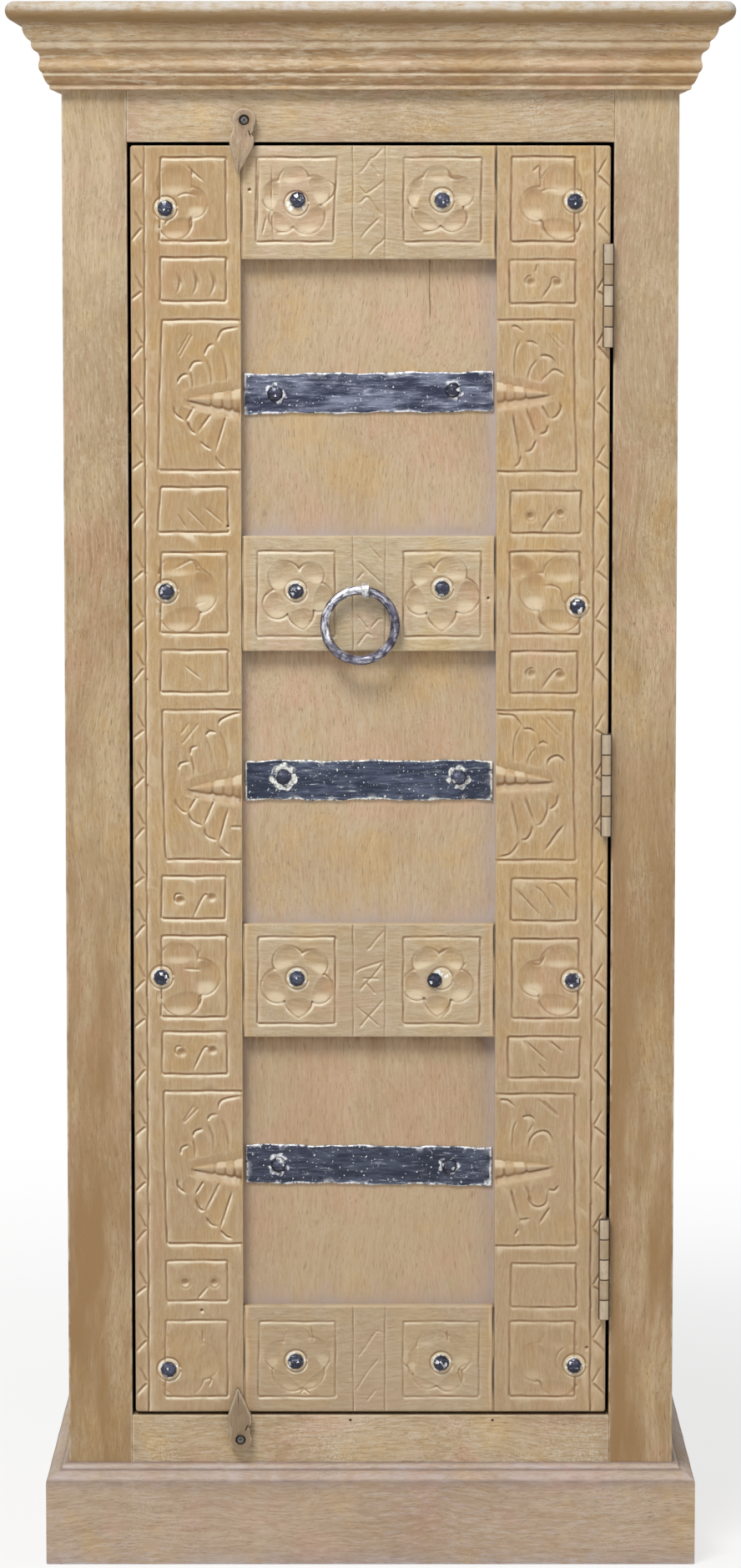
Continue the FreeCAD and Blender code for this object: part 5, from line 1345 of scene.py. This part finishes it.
def iron(name, dark, mid, bright, seed, shine, rough=(0.34, 0.62)):
    """Blackened wrought iron, scratched in both directions and rubbed bright where its wear is marked,
    with near-white specks that are partly painted glints.
    """
    material, place = fresh_material(name)
    shifted = mapped(place, Location=(seed, seed, seed))
    brushed = noise(mapped(shifted, Scale=(0.12, 1.0, 1.0)), 420.0, 5.0, 0.75, 0.3)
    drawn = noise(mapped(shifted, Scale=(0.3, 1.0, 1.0)), 70.0, 4.0, 0.6)
    slant = mapped(shifted, Rotation=(0, 0.7, 0), Scale=(0.2, 1.0, 1.0))
    clouds = fade(reckon("ADD", times(drawn, 0.55), times(brushed, 0.45)), 0.42, 0.62)
    scratches = fade(brushed, 0.58, 0.72)
    scuffs = fade(noise(slant, 240.0, 5.0, 0.75), 0.60, 0.74)
    # Near-white specks: flecks of rubbed metal and painted glints.
    specks = fade(noise(shifted, 420.0, 2.0, 0.6), 0.67, 0.71)
    ragged = fade(noise(shifted, 190.0, 4.0, 0.7), 0.36, 0.58)
    rubbed = times(fade(attribute(place, "wear"), 0.1, 0.8), ragged)
    marks = times(reckon("MAXIMUM", scratches, scuffs), reckon("ADD", clouds, 0.15))
    bare = reckon("MAXIMUM", reckon("MAXIMUM", rubbed, times(marks, 0.6)), times(specks, 0.95))
    colour = blend(bare, blend(clouds, dark, mid), bright)
    height = reckon("ADD", noise(shifted, 150.0, 3.0), times(marks, 0.3))
    return finished(material, height, 0.4, 0.0006, Base_Color=colour, Metallic=shine,
                    Roughness=fade(bare, 0.0, 1.0, rough[1], rough[0]))


strap_iron = {"top": iron("strap_iron_paler", (37, 43, 66), (128, 133, 154), (240, 242, 246), 4.4, shine=0.3),
              "middle": iron("strap_iron_dark", (30, 37, 58), (83, 92, 113), (238, 238, 232), 8.4, shine=0.3),
              "bottom": iron("strap_iron_darkest", (30, 36, 54), (76, 82, 101), (234, 236, 240), 15.4, shine=0.3)}


def hammered_strap(name, left_middle, right_middle, half):
    """A flat bar with wandering edges and the shallow round dents of a hammer over its face."""
    left, right = STRAP_ENDS
    near_end, near_edge = np.array((0, 0.3, 0.8, 1.6)), np.array((1, 0.985, 0.95, 0.9))
    grid_x, share = np.meshgrid(
        np.concatenate([left + near_end, np.linspace(left + 2.6, right - 2.6, 176), right - near_end[::-1]]),
        np.concatenate([-near_edge, np.linspace(-0.84, 0.84, 27), near_edge[::-1]]))
    draw = np.random.default_rng(int(left_middle))
    phase = draw.uniform(0, 6.28, 4)
    upper = half + 0.55 * np.sin(grid_x * 0.085 + phase[0]) + 0.35 * np.sin(grid_x * 0.21 + phase[1])
    lower = half + 0.55 * np.sin(grid_x * 0.078 + phase[2]) + 0.35 * np.sin(grid_x * 0.24 + phase[3])
    middle = left_middle + (right_middle - left_middle) * (grid_x - left) / (right - left)
    grid_z = middle + share * np.where(share > 0, upper, lower)
    dents = np.zeros_like(grid_x)
    for _ in range(150):
        dent_x, dent_z = draw.uniform(left, right), left_middle + draw.uniform(-half, half)
        size, deep = draw.uniform(5, 10), draw.uniform(0.12, 0.42)
        away = (grid_x - dent_x) ** 2 + (grid_z - dent_z) ** 2
        dents = np.maximum(dents, deep * np.clip(1 - away / size ** 2, 0, 1))
    border = np.minimum(np.minimum(grid_x - left, right - grid_x), (1 - np.abs(share)) * half)
    arris = 0.9 - np.sqrt(np.clip(0.81 - np.clip(0.9 - border, 0, 0.9) ** 2, 0, 1))
    edge_groove = 0.25 * np.exp(-((border - 3.4) / 1.1) ** 2)
    front = STRAP_FRONT + 0.05 + dents + arris + edge_groove
    bright = 1.6 + 0.9 * np.sin(grid_x * 0.11 + phase[0]) * np.where(share < 0, 1.0, 0.5)
    worn = (1.2 - 0.4 * np.sin(grid_x * 0.05 + phase[2])) * np.clip(1 - border / bright, 0, 1)
    worn = worn + 0.5 * np.clip(0.10 - dents, 0, 0.1) / 0.1 * np.clip(1 - border / 9, 0, 1)
    worn = worn + 0.4 * np.clip(1 - (right - grid_x) / 16, 0, 1) * (0.6 + 0.4 * np.sin(grid_z * 0.4 + phase[1]))
    for (nail_x, nail_z), chipped_and_lit in zip(STRAP_NAILS, STRAP_CHIPS):
        away, turn = np.hypot(grid_x - nail_x, grid_z - nail_z), np.arctan2(grid_z - nail_z, grid_x - nail_x)
        chips = np.clip(np.sin(2 * turn + nail_x) + 0.8 * np.sin(5 * turn + nail_z) + 2.0 * chipped_and_lit, 0, 1)
        reach = 8.4 + 4.0 * chipped_and_lit + 0.9 * np.sin(7 * turn + nail_x)
        worn = np.maximum(worn, 1.3 * chips * (away > 6.5) * np.clip((reach - away) / 0.8, 0, 1))
    return thin_board("iron_strap_forged_" + name, grid_x, front, grid_z, PANEL_FACE, strap_iron[name], 55,
                      wear=[worn, 0.5 * worn])


for name, (left_middle, right_middle, half) in STRAPS.items():
    keep(hammered_strap(name, left_middle, right_middle, half), "door", "wrought_iron", "iron_strap_" + name)


# Nails. Hand-forged, their heads beaten to rough facets and blackened with the straps. Sixteen hold
# the door's boards together and six hold the straps. Those in the wood sit in a turned, bare ring.
# About one facet in ten is painted near white as a glint, a painted highlight.

HEAD_RADIUS, HEAD_HEIGHT = 0.0073, 0.0052
BOARD_NAILS = [(-181.5, 1220), (-182, 880), (-187.5, 533), (-182.5, 175), (181, 1226), (184.5, 867), (181.5, 530),
    (184.5, 178.5), (-64.5, 1227.5), (63.5, 1227), (-66.5, 880.5), (64, 883), (-66, 532), (57.5, 530.5), (-67.5, 182.5),
    (64, 181)]


SOCKET_KINDS = {float: "Float", int: "Int", tuple: "Vector"}


def grown(name, sizes):
    """An empty Geometry Nodes tree. Its inputs are the geometry, the named sizes and the material."""
    tree = bpy.data.node_groups.new(name, "GeometryNodeTree")
    for way in ("INPUT", "OUTPUT"):
        tree.interface.new_socket("Geometry", in_out=way, socket_type="NodeSocketGeometry")
    for label, value in sizes.items():
        kind = "NodeSocket" + SOCKET_KINDS[type(value)]
        tree.interface.new_socket(label, in_out="INPUT", socket_type=kind).default_value = value
    tree.interface.new_socket("Material", in_out="INPUT", socket_type="NodeSocketMaterial")
    return tree, put(tree, "NodeGroupInput").outputs


def vector(place, x, y, z):
    return put(place, "ShaderNodeCombineXYZ", {0: x, 1: y, 2: z}).outputs[0]


def chance(low, high, seed):
    """A random number from low to high, of its own for each spot."""
    return put(seed, "FunctionNodeRandomValue", {2: low, 3: high, "Seed": seed}, data_type="FLOAT").outputs[1]


def hammered(geometry, scale, detail, strength):
    """Geometry with its surface shoved about, as a hammer leaves it."""
    beat = put(geometry, "ShaderNodeTexNoise", {"Scale": scale, "Detail": detail}).outputs["Color"]
    shove = put(geometry, "ShaderNodeVectorMath", {0: beat, 1: (0.5, 0.5, 0.5)}, operation="SUBTRACT").outputs[0]
    dent = put(geometry, "ShaderNodeVectorMath", {0: shove, "Scale": strength}, operation="SCALE").outputs[0]
    return put(geometry, "GeometryNodeSetPosition", {"Geometry": geometry, "Offset": dent}).outputs[0]


def marked(geometry, wear, domain):
    """Geometry with wear stored on it, for its material to read."""
    inputs = {"Geometry": geometry, "Name": "wear", "Value": wear}
    return put(geometry, "GeometryNodeStoreNamedAttribute", inputs, data_type="FLOAT", domain=domain).outputs[0]


def finish_tree(geometry, material):
    """Ends a tree: its instances made real, and its material set."""
    real = put(geometry, "GeometryNodeRealizeInstances", {0: geometry}).outputs[0]
    dressed = put(geometry, "GeometryNodeSetMaterial", {"Geometry": real, "Material": material})
    put(geometry, "NodeGroupOutput", {0: dressed.outputs[0]})


def grow(name, mesh, tree, **sizes):
    """The mesh that a tree grows from a starting mesh, as a new piece at the origin."""
    seed = stand(name + "_seed", mesh)
    modifier = seed.modifiers.new("grow", "NODES")
    modifier.node_group = tree
    for socket in tree.interface.items_tree:
        if socket.item_type == "SOCKET" and socket.in_out == "INPUT" and socket.name in sizes:
            modifier[socket.identifier] = sizes[socket.name]
    return stand(name, settled(seed, name))


def spots_mesh(name, places):
    mesh = bpy.data.meshes.new(name)
    mesh.from_pydata([tuple(part * MM for part in place) for place in places], [], [])
    return mesh


nail_iron = iron("nail_iron", (34, 36, 52), (74, 78, 98), (246, 248, 250), 9.2, rough=(0.2, 0.38), shine=0.5)

nail_tree, given = grown("forged_nail_heads", {"Head radius": HEAD_RADIUS, "Head height": HEAD_HEIGHT, "Facets": 9,
                                               "Hammering": 0.0007, "Seed": 5})
seed, radius = given["Seed"], given["Head radius"]
ball = put(nail_tree, "GeometryNodeMeshUVSphere", {"Segments": given["Facets"], "Rings": 8, "Radius": 1.0})
size = vector(radius, radius, radius, given["Head height"])
head = put(nail_tree, "GeometryNodeTransform", {"Geometry": ball.outputs["Mesh"], "Scale": size})
tipped = put(nail_tree, "GeometryNodeTransform", {"Geometry": head.outputs[0], "Rotation": (math.radians(90), 0, 0)})
spin = put(nail_tree, "FunctionNodeRandomValue", {0: (0, 0, 0), 1: (0.10, 6.28, 0.10), "Seed": seed},
           data_type="FLOAT_VECTOR")
heads = put(nail_tree, "GeometryNodeInstanceOnPoints", {"Points": given["Geometry"], "Instance": tipped.outputs[0],
                                                       "Rotation": spin.outputs[0], "Scale": chance(0.95, 1.04, seed)})
made = put(nail_tree, "GeometryNodeRealizeInstances", {0: heads.outputs[0]}).outputs[0]
# Painted highlight: about one facet in ten is marked as wear, which the iron paints near white as a glint.
glint = times(reckon("GREATER_THAN", chance(0.0, 1.0, seed), 0.9), 2.0)
beaten = marked(hammered(made, 210.0, 1.0, given["Hammering"]), glint, "FACE")
facets = put(nail_tree, "GeometryNodeSetShadeSmooth", {"Geometry": beaten, "Shade Smooth": False})
finish_tree(facets.outputs[0], given["Material"])

for what, spots, front, seed in (("door", BOARD_NAILS, DOOR_FACE, 5), ("strap", STRAP_NAILS, STRAP_FRONT, 11)):
    places = spots_mesh(what + "_nail_spots", [(x, front - 0.1, z) for x, z in spots])
    heads = grow(what + "_nail_heads", places, nail_tree, Material=nail_iron, Seed=seed)
    keep(heads, "door", "wrought_iron", what + "_nails")


# Ring handle and its staple. The ring is a round bar bent hot and welded, purple-black in its hammer
# marks and worn bright where hands pull it, the bright streaks painted strongest at its upper left as a
# painted highlight towards the lamp. The staple is a flat strip bent into an eye round it.

RING_CENTRE = (-9.4, -162.5, 850.7)
RING_SPOT = tuple(part * MM for part in RING_CENTRE)
RING_RADIUS, WIRE_RADIUS = 31.4, 4.15
EYE = (-4.5, -162.5, 881.715)
EYE_MIDDLE, HALF_THICK, HALF_WIDE = 6.3, 0.85, 3.3
STRIP_EASE = 0.45
ROOT = -141.0


def worn_ring_steel():
    """Dark forged steel with bright rubbed streaks that run round the ring, painted strongest at its upper
    left, towards the lamp, as a painted highlight.
    """
    material, place = fresh_material("ring_steel")
    apart = put(place, "ShaderNodeVectorMath", {0: place, 1: RING_SPOT}, operation="SUBTRACT").outputs[0]
    x, y, z = (along(apart, axis) for axis in "XYZ")
    reach = put(place, "ShaderNodeVectorMath", {0: vector(x, x, 0.0, z)}, operation="LENGTH").outputs["Value"]
    round_the_bar = vector(y, times(reckon("ARCTAN2", z, x), 0.007), y, reach)
    streaks = fade(noise(round_the_bar, 420.0, 4.0, 0.65, 0.3), 0.46, 0.62)
    blotches = fade(noise(place, 120.0, 3.0, 0.6), 0.4, 0.62)
    # Painted highlight: the streaks brighten towards the upper left.
    lit_upper_left = fade(reckon("SUBTRACT", z, x), -0.012, 0.040)
    bright = times(streaks, reckon("ADD", times(lit_upper_left, 0.9), times(blotches, 0.65)), True)
    colour = blend(bright, blend(blotches, (70, 66, 82), (112, 110, 126)), (226, 226, 232))
    height = reckon("ADD", noise(place, 240.0, 3.0, 0.6), times(streaks, 0.4))
    return finished(material, height, 0.5, 0.0008, Base_Color=colour, Roughness=fade(bright, 0.0, 1.0, 0.46, 0.28),
                    Metallic=0.7)


ring_tree, given = grown("forged_ring", {"Ring radius": RING_RADIUS * MM, "Bar radius": WIRE_RADIUS * MM,
                                         "Hammering": 0.0006, "Centre": (0.0, 0.0, 0.0)})
hoop = put(ring_tree, "GeometryNodeCurvePrimitiveCircle", {"Resolution": 120, "Radius": given["Ring radius"]})
bar = put(ring_tree, "GeometryNodeCurvePrimitiveCircle", {"Resolution": 24, "Radius": given["Bar radius"]})
curves = {"Curve": hoop.outputs["Curve"], "Profile Curve": bar.outputs["Curve"]}
bent = put(ring_tree, "GeometryNodeCurveToMesh", curves).outputs[0]
stood = put(ring_tree, "GeometryNodeTransform", {"Geometry": bent, "Translation": given["Centre"],
                                                 "Rotation": (math.radians(90), 0, 0)}).outputs[0]
beaten = hammered(stood, 130.0, 2.0, given["Hammering"])
smooth = put(ring_tree, "GeometryNodeSetShadeSmooth", {"Geometry": beaten, "Shade Smooth": True})
finish_tree(smooth.outputs[0], given["Material"])
ring = grow("ring_forged", spots_mesh("ring_spot", [RING_CENTRE]), ring_tree, Material=worn_ring_steel(),
            Centre=RING_SPOT)
keep(ring, "ring", "worn_steel", "ring_handle")

staple_iron = iron("staple_steel", (96, 94, 100), (150, 148, 150), (226, 226, 226), 12.6, rough=(0.28, 0.45), shine=0.7)
path = [(ROOT, EYE[2] - 1.7), (-150.0, EYE[2] - 1.7), (-155.0, EYE[2] - 2.0)]
for step in range(29):
    turn = math.radians(-18.0 - step * 324.0 / 28)
    path.append((EYE[1] + EYE_MIDDLE * math.cos(turn), EYE[2] + EYE_MIDDLE * math.sin(turn)))
path += [(-155.0, EYE[2] + 2.0), (-150.0, EYE[2] + 1.7), (ROOT, EYE[2] + 1.7)]
path = np.array(path)
heading = np.gradient(path, axis=0)
heading /= np.hypot(*heading.T)[:, None]
normal = np.stack([-heading[:, 1], heading[:, 0]], -1)
wide, thick = HALF_WIDE - STRIP_EASE, HALF_THICK - STRIP_EASE
strip = [(-wide, -HALF_THICK), (wide, -HALF_THICK), (HALF_WIDE, -thick), (HALF_WIDE, thick),
         (wide, HALF_THICK), (-wide, HALF_THICK), (-HALF_WIDE, thick), (-HALF_WIDE, -thick)]
rings = [[(EYE[0] + wide, spot[0] + thick * across[0], spot[1] + thick * across[1]) for wide, thick in strip]
         for spot, across in zip(path, normal)]
staple = swept("ring_staple_bent", rings, staple_iron, wear=[0.9, 0.9, 0.6, 0.6, 0.9, 0.9, 0.6, 0.6])
keep(staple, "door", "worn_steel", "ring_staple")


# Hinges. Three steel butt hinges, each of two leaves let out to five knuckles round one pin. They were
# brushed over with the wood's own finish, which has worn off the knuckles' ends and edges.

HINGE_LEVELS = (1143.0, 707.0, 268.0)
HINGE_AXIS = (210.5, -158.3)
HINGE_LENGTH, KNUCKLE_RADIUS, LEAF_THICKNESS = 92.0, 5.0, 1.4
KNUCKLE_PITCH, KNUCKLE_GAP = HINGE_LENGTH / 5, 0.3
PLATE_BACK = -133.0
SCREW_OFFSETS, SCREW_DEPTH = (-32.0, 0.0, 32.0), -142.0


def painted_steel(name, paint, worn, seed):
    """Steel brushed with the wood's finish, flecked with rubbed metal, dark at the knuckles' ends where they
    meet, and painted with shade down both flanks of each knuckle.
    """
    material, place = fresh_material(name)
    shifted = mapped(place, Location=(seed, seed, 0))
    wear = attribute(place, "wear")
    strokes = fade(noise(mapped(shifted, Scale=(1.0, 1.0, 0.2)), 260.0, 3.0, 0.6), 0.35, 0.65)
    clouds = fade(noise(shifted, 48.0, 3.0, 0.6), 0.3, 0.7)
    chips = fade(noise(shifted, 210.0, 4.0, 0.7), 0.5, 0.6)
    flecks = fade(noise(shifted, 310.0, 4.0, 0.7), 0.62, 0.68)
    bare = reckon("MAXIMUM", times(fade(wear, 0.3, 0.9), chips), times(flecks, 0.7))
    colour = blend(times(strokes, 0.35), paint, tuple(0.62 * part for part in paint))
    colour = blend(times(clouds, 0.25), colour, (198, 190, 178))
    colour = blend(bare, colour, worn)
    # Painted shade: dark down both flanks of each knuckle, where its round turns away from the front.
    flank = reckon("ABSOLUTE", reckon("SUBTRACT", along(place, "X"), HINGE_AXIS[0] * MM))
    grime_and_shade = times(fade(flank, 0.0035, 0.0043), fade(along(place, "Y"), -0.1540, -0.1575))
    colour = blend(times(reckon("MAXIMUM", fade(wear, 0.1, 0.6), grime_and_shade), 0.95), colour, (54, 38, 34))
    return finished(material, reckon("SUBTRACT", strokes, bare), 0.3, 0.0003, Base_Color=colour,
                    Metallic=times(bare, 0.5), Roughness=fade(bare, 0.0, 1.0, 0.55, 0.36))


frame_leaf_paint = painted_steel("frame_leaf_paint", (190, 170, 142), (120, 116, 112), 2.2)
door_leaf_paint = painted_steel("door_leaf_paint", (174, 148, 112), (118, 112, 106), 6.4)

knuckle_tree, given = grown("hinge_knuckles", {"Start": (0.0, 0.0, 0.0), "Count": 2, "Pitch": 0.0368, "Length": 0.0181,
                                               "Radius": 0.005, "Round": 0.0006})
step = vector(knuckle_tree, 0.0, 0.0, given["Pitch"])
row = put(knuckle_tree, "GeometryNodeMeshLine", {"Count": given["Count"], "Start Location": given["Start"],
                                                 "Offset": step}, mode="OFFSET")
sizes = {"Vertices": 32, "Side Segments": 30, "Fill Segments": 2, "Radius": given["Radius"], "Depth": given["Length"]}
barrel = put(knuckle_tree, "GeometryNodeMeshCylinder", sizes, fill_type="NGON").outputs["Mesh"]
spot = put(knuckle_tree, "GeometryNodeInputPosition").outputs[0]
to_end = reckon("SUBTRACT", times(given["Length"], 0.5), reckon("ABSOLUTE", along(spot, "Z")))
pinch = reckon("SUBTRACT", 1.0, reckon("DIVIDE", to_end, given["Round"]), True)
waist = reckon("SUBTRACT", 1.0, times(reckon("POWER", pinch, 2.0), 0.11))
squeeze = vector(spot, waist, waist, 1.0)
narrowed = put(knuckle_tree, "ShaderNodeVectorMath", {0: spot, 1: squeeze}, operation="MULTIPLY")
eased = put(knuckle_tree, "GeometryNodeSetPosition", {"Geometry": barrel, "Position": narrowed.outputs[0]})
barrels = put(knuckle_tree, "GeometryNodeInstanceOnPoints", {"Points": row.outputs[0],
                                                            "Instance": marked(eased.outputs[0], pinch, "POINT")})
joined = put(knuckle_tree, "GeometryNodeJoinGeometry", {0: barrels.outputs[0]})
feed(joined, {0: given["Geometry"]})
finish_tree(joined.outputs[0], given["Material"])


def hinge_plate(name, low, high, material):
    """A leaf's flat plate, its edges eased and worn."""
    plate = planed_board(name, low, high, "z", material, 0.35, 0.0)
    mesh = plate.data
    bpy.data.objects.remove(plate)
    return mesh


for number, level in enumerate(HINGE_LEVELS, 1):
    foot, head = level - HINGE_LENGTH / 2, level + HINGE_LENGTH / 2
    for leaf, body, left, first, count, colour in (("door", "door", 212.5, 1, 2, door_leaf_paint),
                                                   ("frame", "cabinet", 214.1, 0, 3, frame_leaf_paint)):
        plate = hinge_plate("plate", (left, HINGE_AXIS[1], foot), (left + LEAF_THICKNESS, PLATE_BACK, head), colour)
        start = (HINGE_AXIS[0] * MM, HINGE_AXIS[1] * MM, (foot + (first + 0.5) * KNUCKLE_PITCH) * MM)
        hinge = grow("hinge_%s_leaf_pressed_%d" % (leaf, number), plate, knuckle_tree, Start=start, Count=count,
                     Pitch=2 * KNUCKLE_PITCH * MM, Length=(KNUCKLE_PITCH - KNUCKLE_GAP) * MM,
                     Radius=KNUCKLE_RADIUS * MM, Material=colour)
        hinge.data.set_sharp_from_angle(angle=math.radians(50))
        keep(hinge, body, "painted_hinge", "hinge_%s_leaf_%d" % (leaf, number))


# Screws. Dull zinc wood screws with a cross recess: three flush ones in every hinge leaf, and a
# round-headed one at the bottom of each turn button's counterbore.

screw_zinc = iron("screw_zinc", (104, 102, 100), (146, 142, 138), (196, 192, 186), 15.5, rough=(0.3, 0.5), shine=0.6)
screw_tree, given = grown("cross_head_screws", {"Head radius": 0.003, "Dome": 0.0008, "Recess": 0.0016,
                                                "Recess width": 0.0009, "Turn": (0.0, 0.0, 0.0), "Seed": 3})
radius, width, recess = given["Head radius"], given["Recess width"], given["Recess"]
ball = put(screw_tree, "GeometryNodeMeshUVSphere", {"Segments": 32, "Rings": 16, "Radius": 1.0}).outputs["Mesh"]
size = vector(radius, radius, radius, given["Dome"])
cap = put(screw_tree, "GeometryNodeTransform", {"Geometry": ball, "Scale": size})
crossed = put(screw_tree, "GeometryNodeMeshBoolean", {"Mesh 1": cap.outputs[0]}, operation="DIFFERENCE")
long_side = times(radius, 1.15)
for across, deep in ((long_side, width), (width, long_side)):
    cutter = put(screw_tree, "GeometryNodeMeshCube", {"Size": vector(across, across, deep, recess)}).outputs["Mesh"]
    lift = vector(recess, 0.0, 0.0, given["Dome"])
    lifted = put(screw_tree, "GeometryNodeTransform", {"Geometry": cutter, "Translation": lift})
    feed(crossed, {"Mesh 2": lifted.outputs[0]})
screws = put(screw_tree, "GeometryNodeInstanceOnPoints", {"Points": given["Geometry"],
                                                          "Instance": crossed.outputs["Mesh"]})
aimed = put(screw_tree, "GeometryNodeRotateInstances", {"Instances": screws.outputs[0], "Rotation": given["Turn"]})
own_turn = vector(screw_tree, 0.0, 0.0, chance(0.0, 1.5, given["Seed"]))
spun = put(screw_tree, "GeometryNodeRotateInstances", {"Instances": aimed.outputs[0], "Rotation": own_turn,
                                                       "Local Space": True})
finish_tree(spun.outputs[0], given["Material"])

screw_levels = [level + offset for level in HINGE_LEVELS for offset in SCREW_OFFSETS]
for leaf, surface, turn, body in (("door", 213.75, 90.0, "door"), ("frame", 214.25, -90.0, "cabinet")):
    spots = spots_mesh("spots", [(surface, SCREW_DEPTH, level) for level in screw_levels])
    heads = grow("hinge_screws_driven_" + leaf, spots, screw_tree, Material=screw_zinc,
                 Turn=(0.0, math.radians(turn), 0.0), **{"Head radius": 0.0028, "Dome": 0.0002, "Recess": 0.0010})
    keep(heads, body, "bare_steel", "hinge_screws_" + leaf)
for number in (1, 2, 3):
    clad(nodes["hinge_pin_%d" % number].data, screw_zinc)


# Turn buttons. Two leaf-shaped catches cut from one strip of hardwood, nicked beside the eye, each
# turning on a screw in a counterbore. Handling has greyed them; they are painted darker and browner
# towards the floor, the lower one most, and dark in each counterbore, for dirt and painted shade.

BUTTON_PIVOTS = {"top": (-111.6, 1297.5, 6.6, -1), "bottom": (-117.5, 112.0, -3.0, 1)}
BUTTON_BACK, BUTTON_FRONT = -153.1, -162.1
EYE_RADIUS, WELL_RADIUS, WELL_DEEP = 10.4, 4.7, 4.5
SCREW_TOP = -158.4


def button_finish(colour, place):
    worn = times(fade(attribute(place, "wear"), 0.2, 0.9), fade(noise(place, 90.0, 3.0), 0.3, 0.6))
    grime_and_well_shade = times(attribute(place, "soil"), fade(noise(place, 120.0, 3.0), 0.25, 0.7, 0.5, 1.0))
    handled = fade(noise(place, 55.0, 3.0, 0.6), 0.4, 0.65)
    colour = blend(times(handled, 0.35), colour, (146, 132, 116))
    # Painted shade: darker and browner towards the floor.
    colour = blend(fade(along(place, "Z"), 0.7, 0.2, 0.0, 0.45), colour, (118, 96, 76))
    # Dirt and painted shade in the counterbore's well and on the back.
    colour = blend(times(grime_and_well_shade, 0.8, True), colour, (74, 58, 44))
    return blend(times(worn, 0.5), colour, (206, 192, 168))


button_wood = wood("turn_button_wood", "z", (172, 150, 120), (132, 106, 78), (190, 178, 160), 37.7,
                   figure=0.6, limed=0.3, pores=0.7, finish=button_finish)


def button_shape(name, pivot_x, pivot_z, tilt, way):
    """One button: its outline drawn round the pivot, its front edge rounded, its well sunk at the eye."""
    turns = [math.radians(turn) for turn in range(-28, 209, 13)]
    eye = [(EYE_RADIUS * math.cos(turn), EYE_RADIUS * math.sin(turn)) for turn in turns]
    left_side = [(-9.3, -8), (-9.2, -11), (-10.2, -14.5), (-10.8, -18), (-10.4, -22), (-8.6, -27), (-5.6, -35),
                 (-2.8, -42), (-0.9, -46.4)]
    right_side = [(0.9, -46.4), (2.9, -42), (5.8, -35), (8.8, -27), (10.6, -22), (10.8, -17.5), (9.9, -13.6),
                  (7.6, -11.6), (8.6, -10.2), (9.2, -8)]
    rim = hand_drawn(eye + left_side + right_side, closed=True, pitch=0.9)
    way_out = rim / np.hypot(*rim.T)[:, None]
    heading = np.roll(rim, -1, axis=0) - np.roll(rim, 1, axis=0)
    heading /= np.hypot(*heading.T)[:, None]
    inward = np.stack([-heading[:, 1], heading[:, 0]], -1)
    rows = [(rim + inward * inset, y, worn, soiled) for inset, y, worn, soiled in (
        (0.5, BUTTON_BACK, 0, 0.6), (0.0, BUTTON_BACK - 0.5, 0.2, 0.5), (0.0, -157.0, 0, 0.15),
        (0.0, BUTTON_FRONT + 1.6, 0.3, 0), (0.25, BUTTON_FRONT + 0.8, 0.9, 0),
        (0.8, BUTTON_FRONT + 0.25, 0.9, 0), (1.7, BUTTON_FRONT, 0.4, 0))]
    circle = way_out * WELL_RADIUS
    edge = rows[-1][0]
    for share, lift, soiled in ((0.25, 0.0, 0.0), (0.55, 0.0, 0.0), (0.85, 0.05, 0.15), (1.0, 0.35, 0.7)):
        inner = circle + way_out * (0.5 * (1 - share))
        rows.append((edge * (1 - share) + inner * share, BUTTON_FRONT + lift, 0.0, soiled))
    rows += [(circle * 0.98, BUTTON_FRONT + 1.2, 0, 0.8), (circle * 0.97, BUTTON_FRONT + WELL_DEEP, 0, 1.0),
             (circle * 0.3, BUTTON_FRONT + WELL_DEEP + 0.1, 0, 1.0)]
    cosine, sine = math.cos(math.radians(tilt)), math.sin(math.radians(tilt))
    rings = []
    for spots, y, _, _ in rows:
        u, v = spots[:, 0], spots[:, 1] * -way
        x, z = pivot_x + u * cosine + v * sine, pivot_z - u * sine + v * cosine
        rings.append(np.stack([x, np.full_like(u, y), z], -1))
    wear, soil = (np.array([row[column] for row in rows])[:, None] for column in (2, 3))
    return swept(name, rings, button_wood, wear=wear, soil=soil)


for name, (pivot_x, pivot_z, tilt, way) in BUTTON_PIVOTS.items():
    button = button_shape("turn_button_cut_" + name, pivot_x, pivot_z, tilt, way)
    keep(button, name + "_button", "button_wood", "turn_button_" + name)
spots = spots_mesh("spots", [(x, SCREW_TOP, z) for x, z, _, _ in BUTTON_PIVOTS.values()])
button_heads = grow("turn_button_screws_driven", spots, screw_tree, Material=screw_zinc,
                    Turn=(math.radians(90), 0.0, 0.0), Seed=9,
                    **{"Head radius": 0.0039, "Dome": 0.0017, "Recess": 0.0026, "Recess width": 0.0012})
keep(button_heads, "cabinet", "bare_steel", "turn_button_screws")
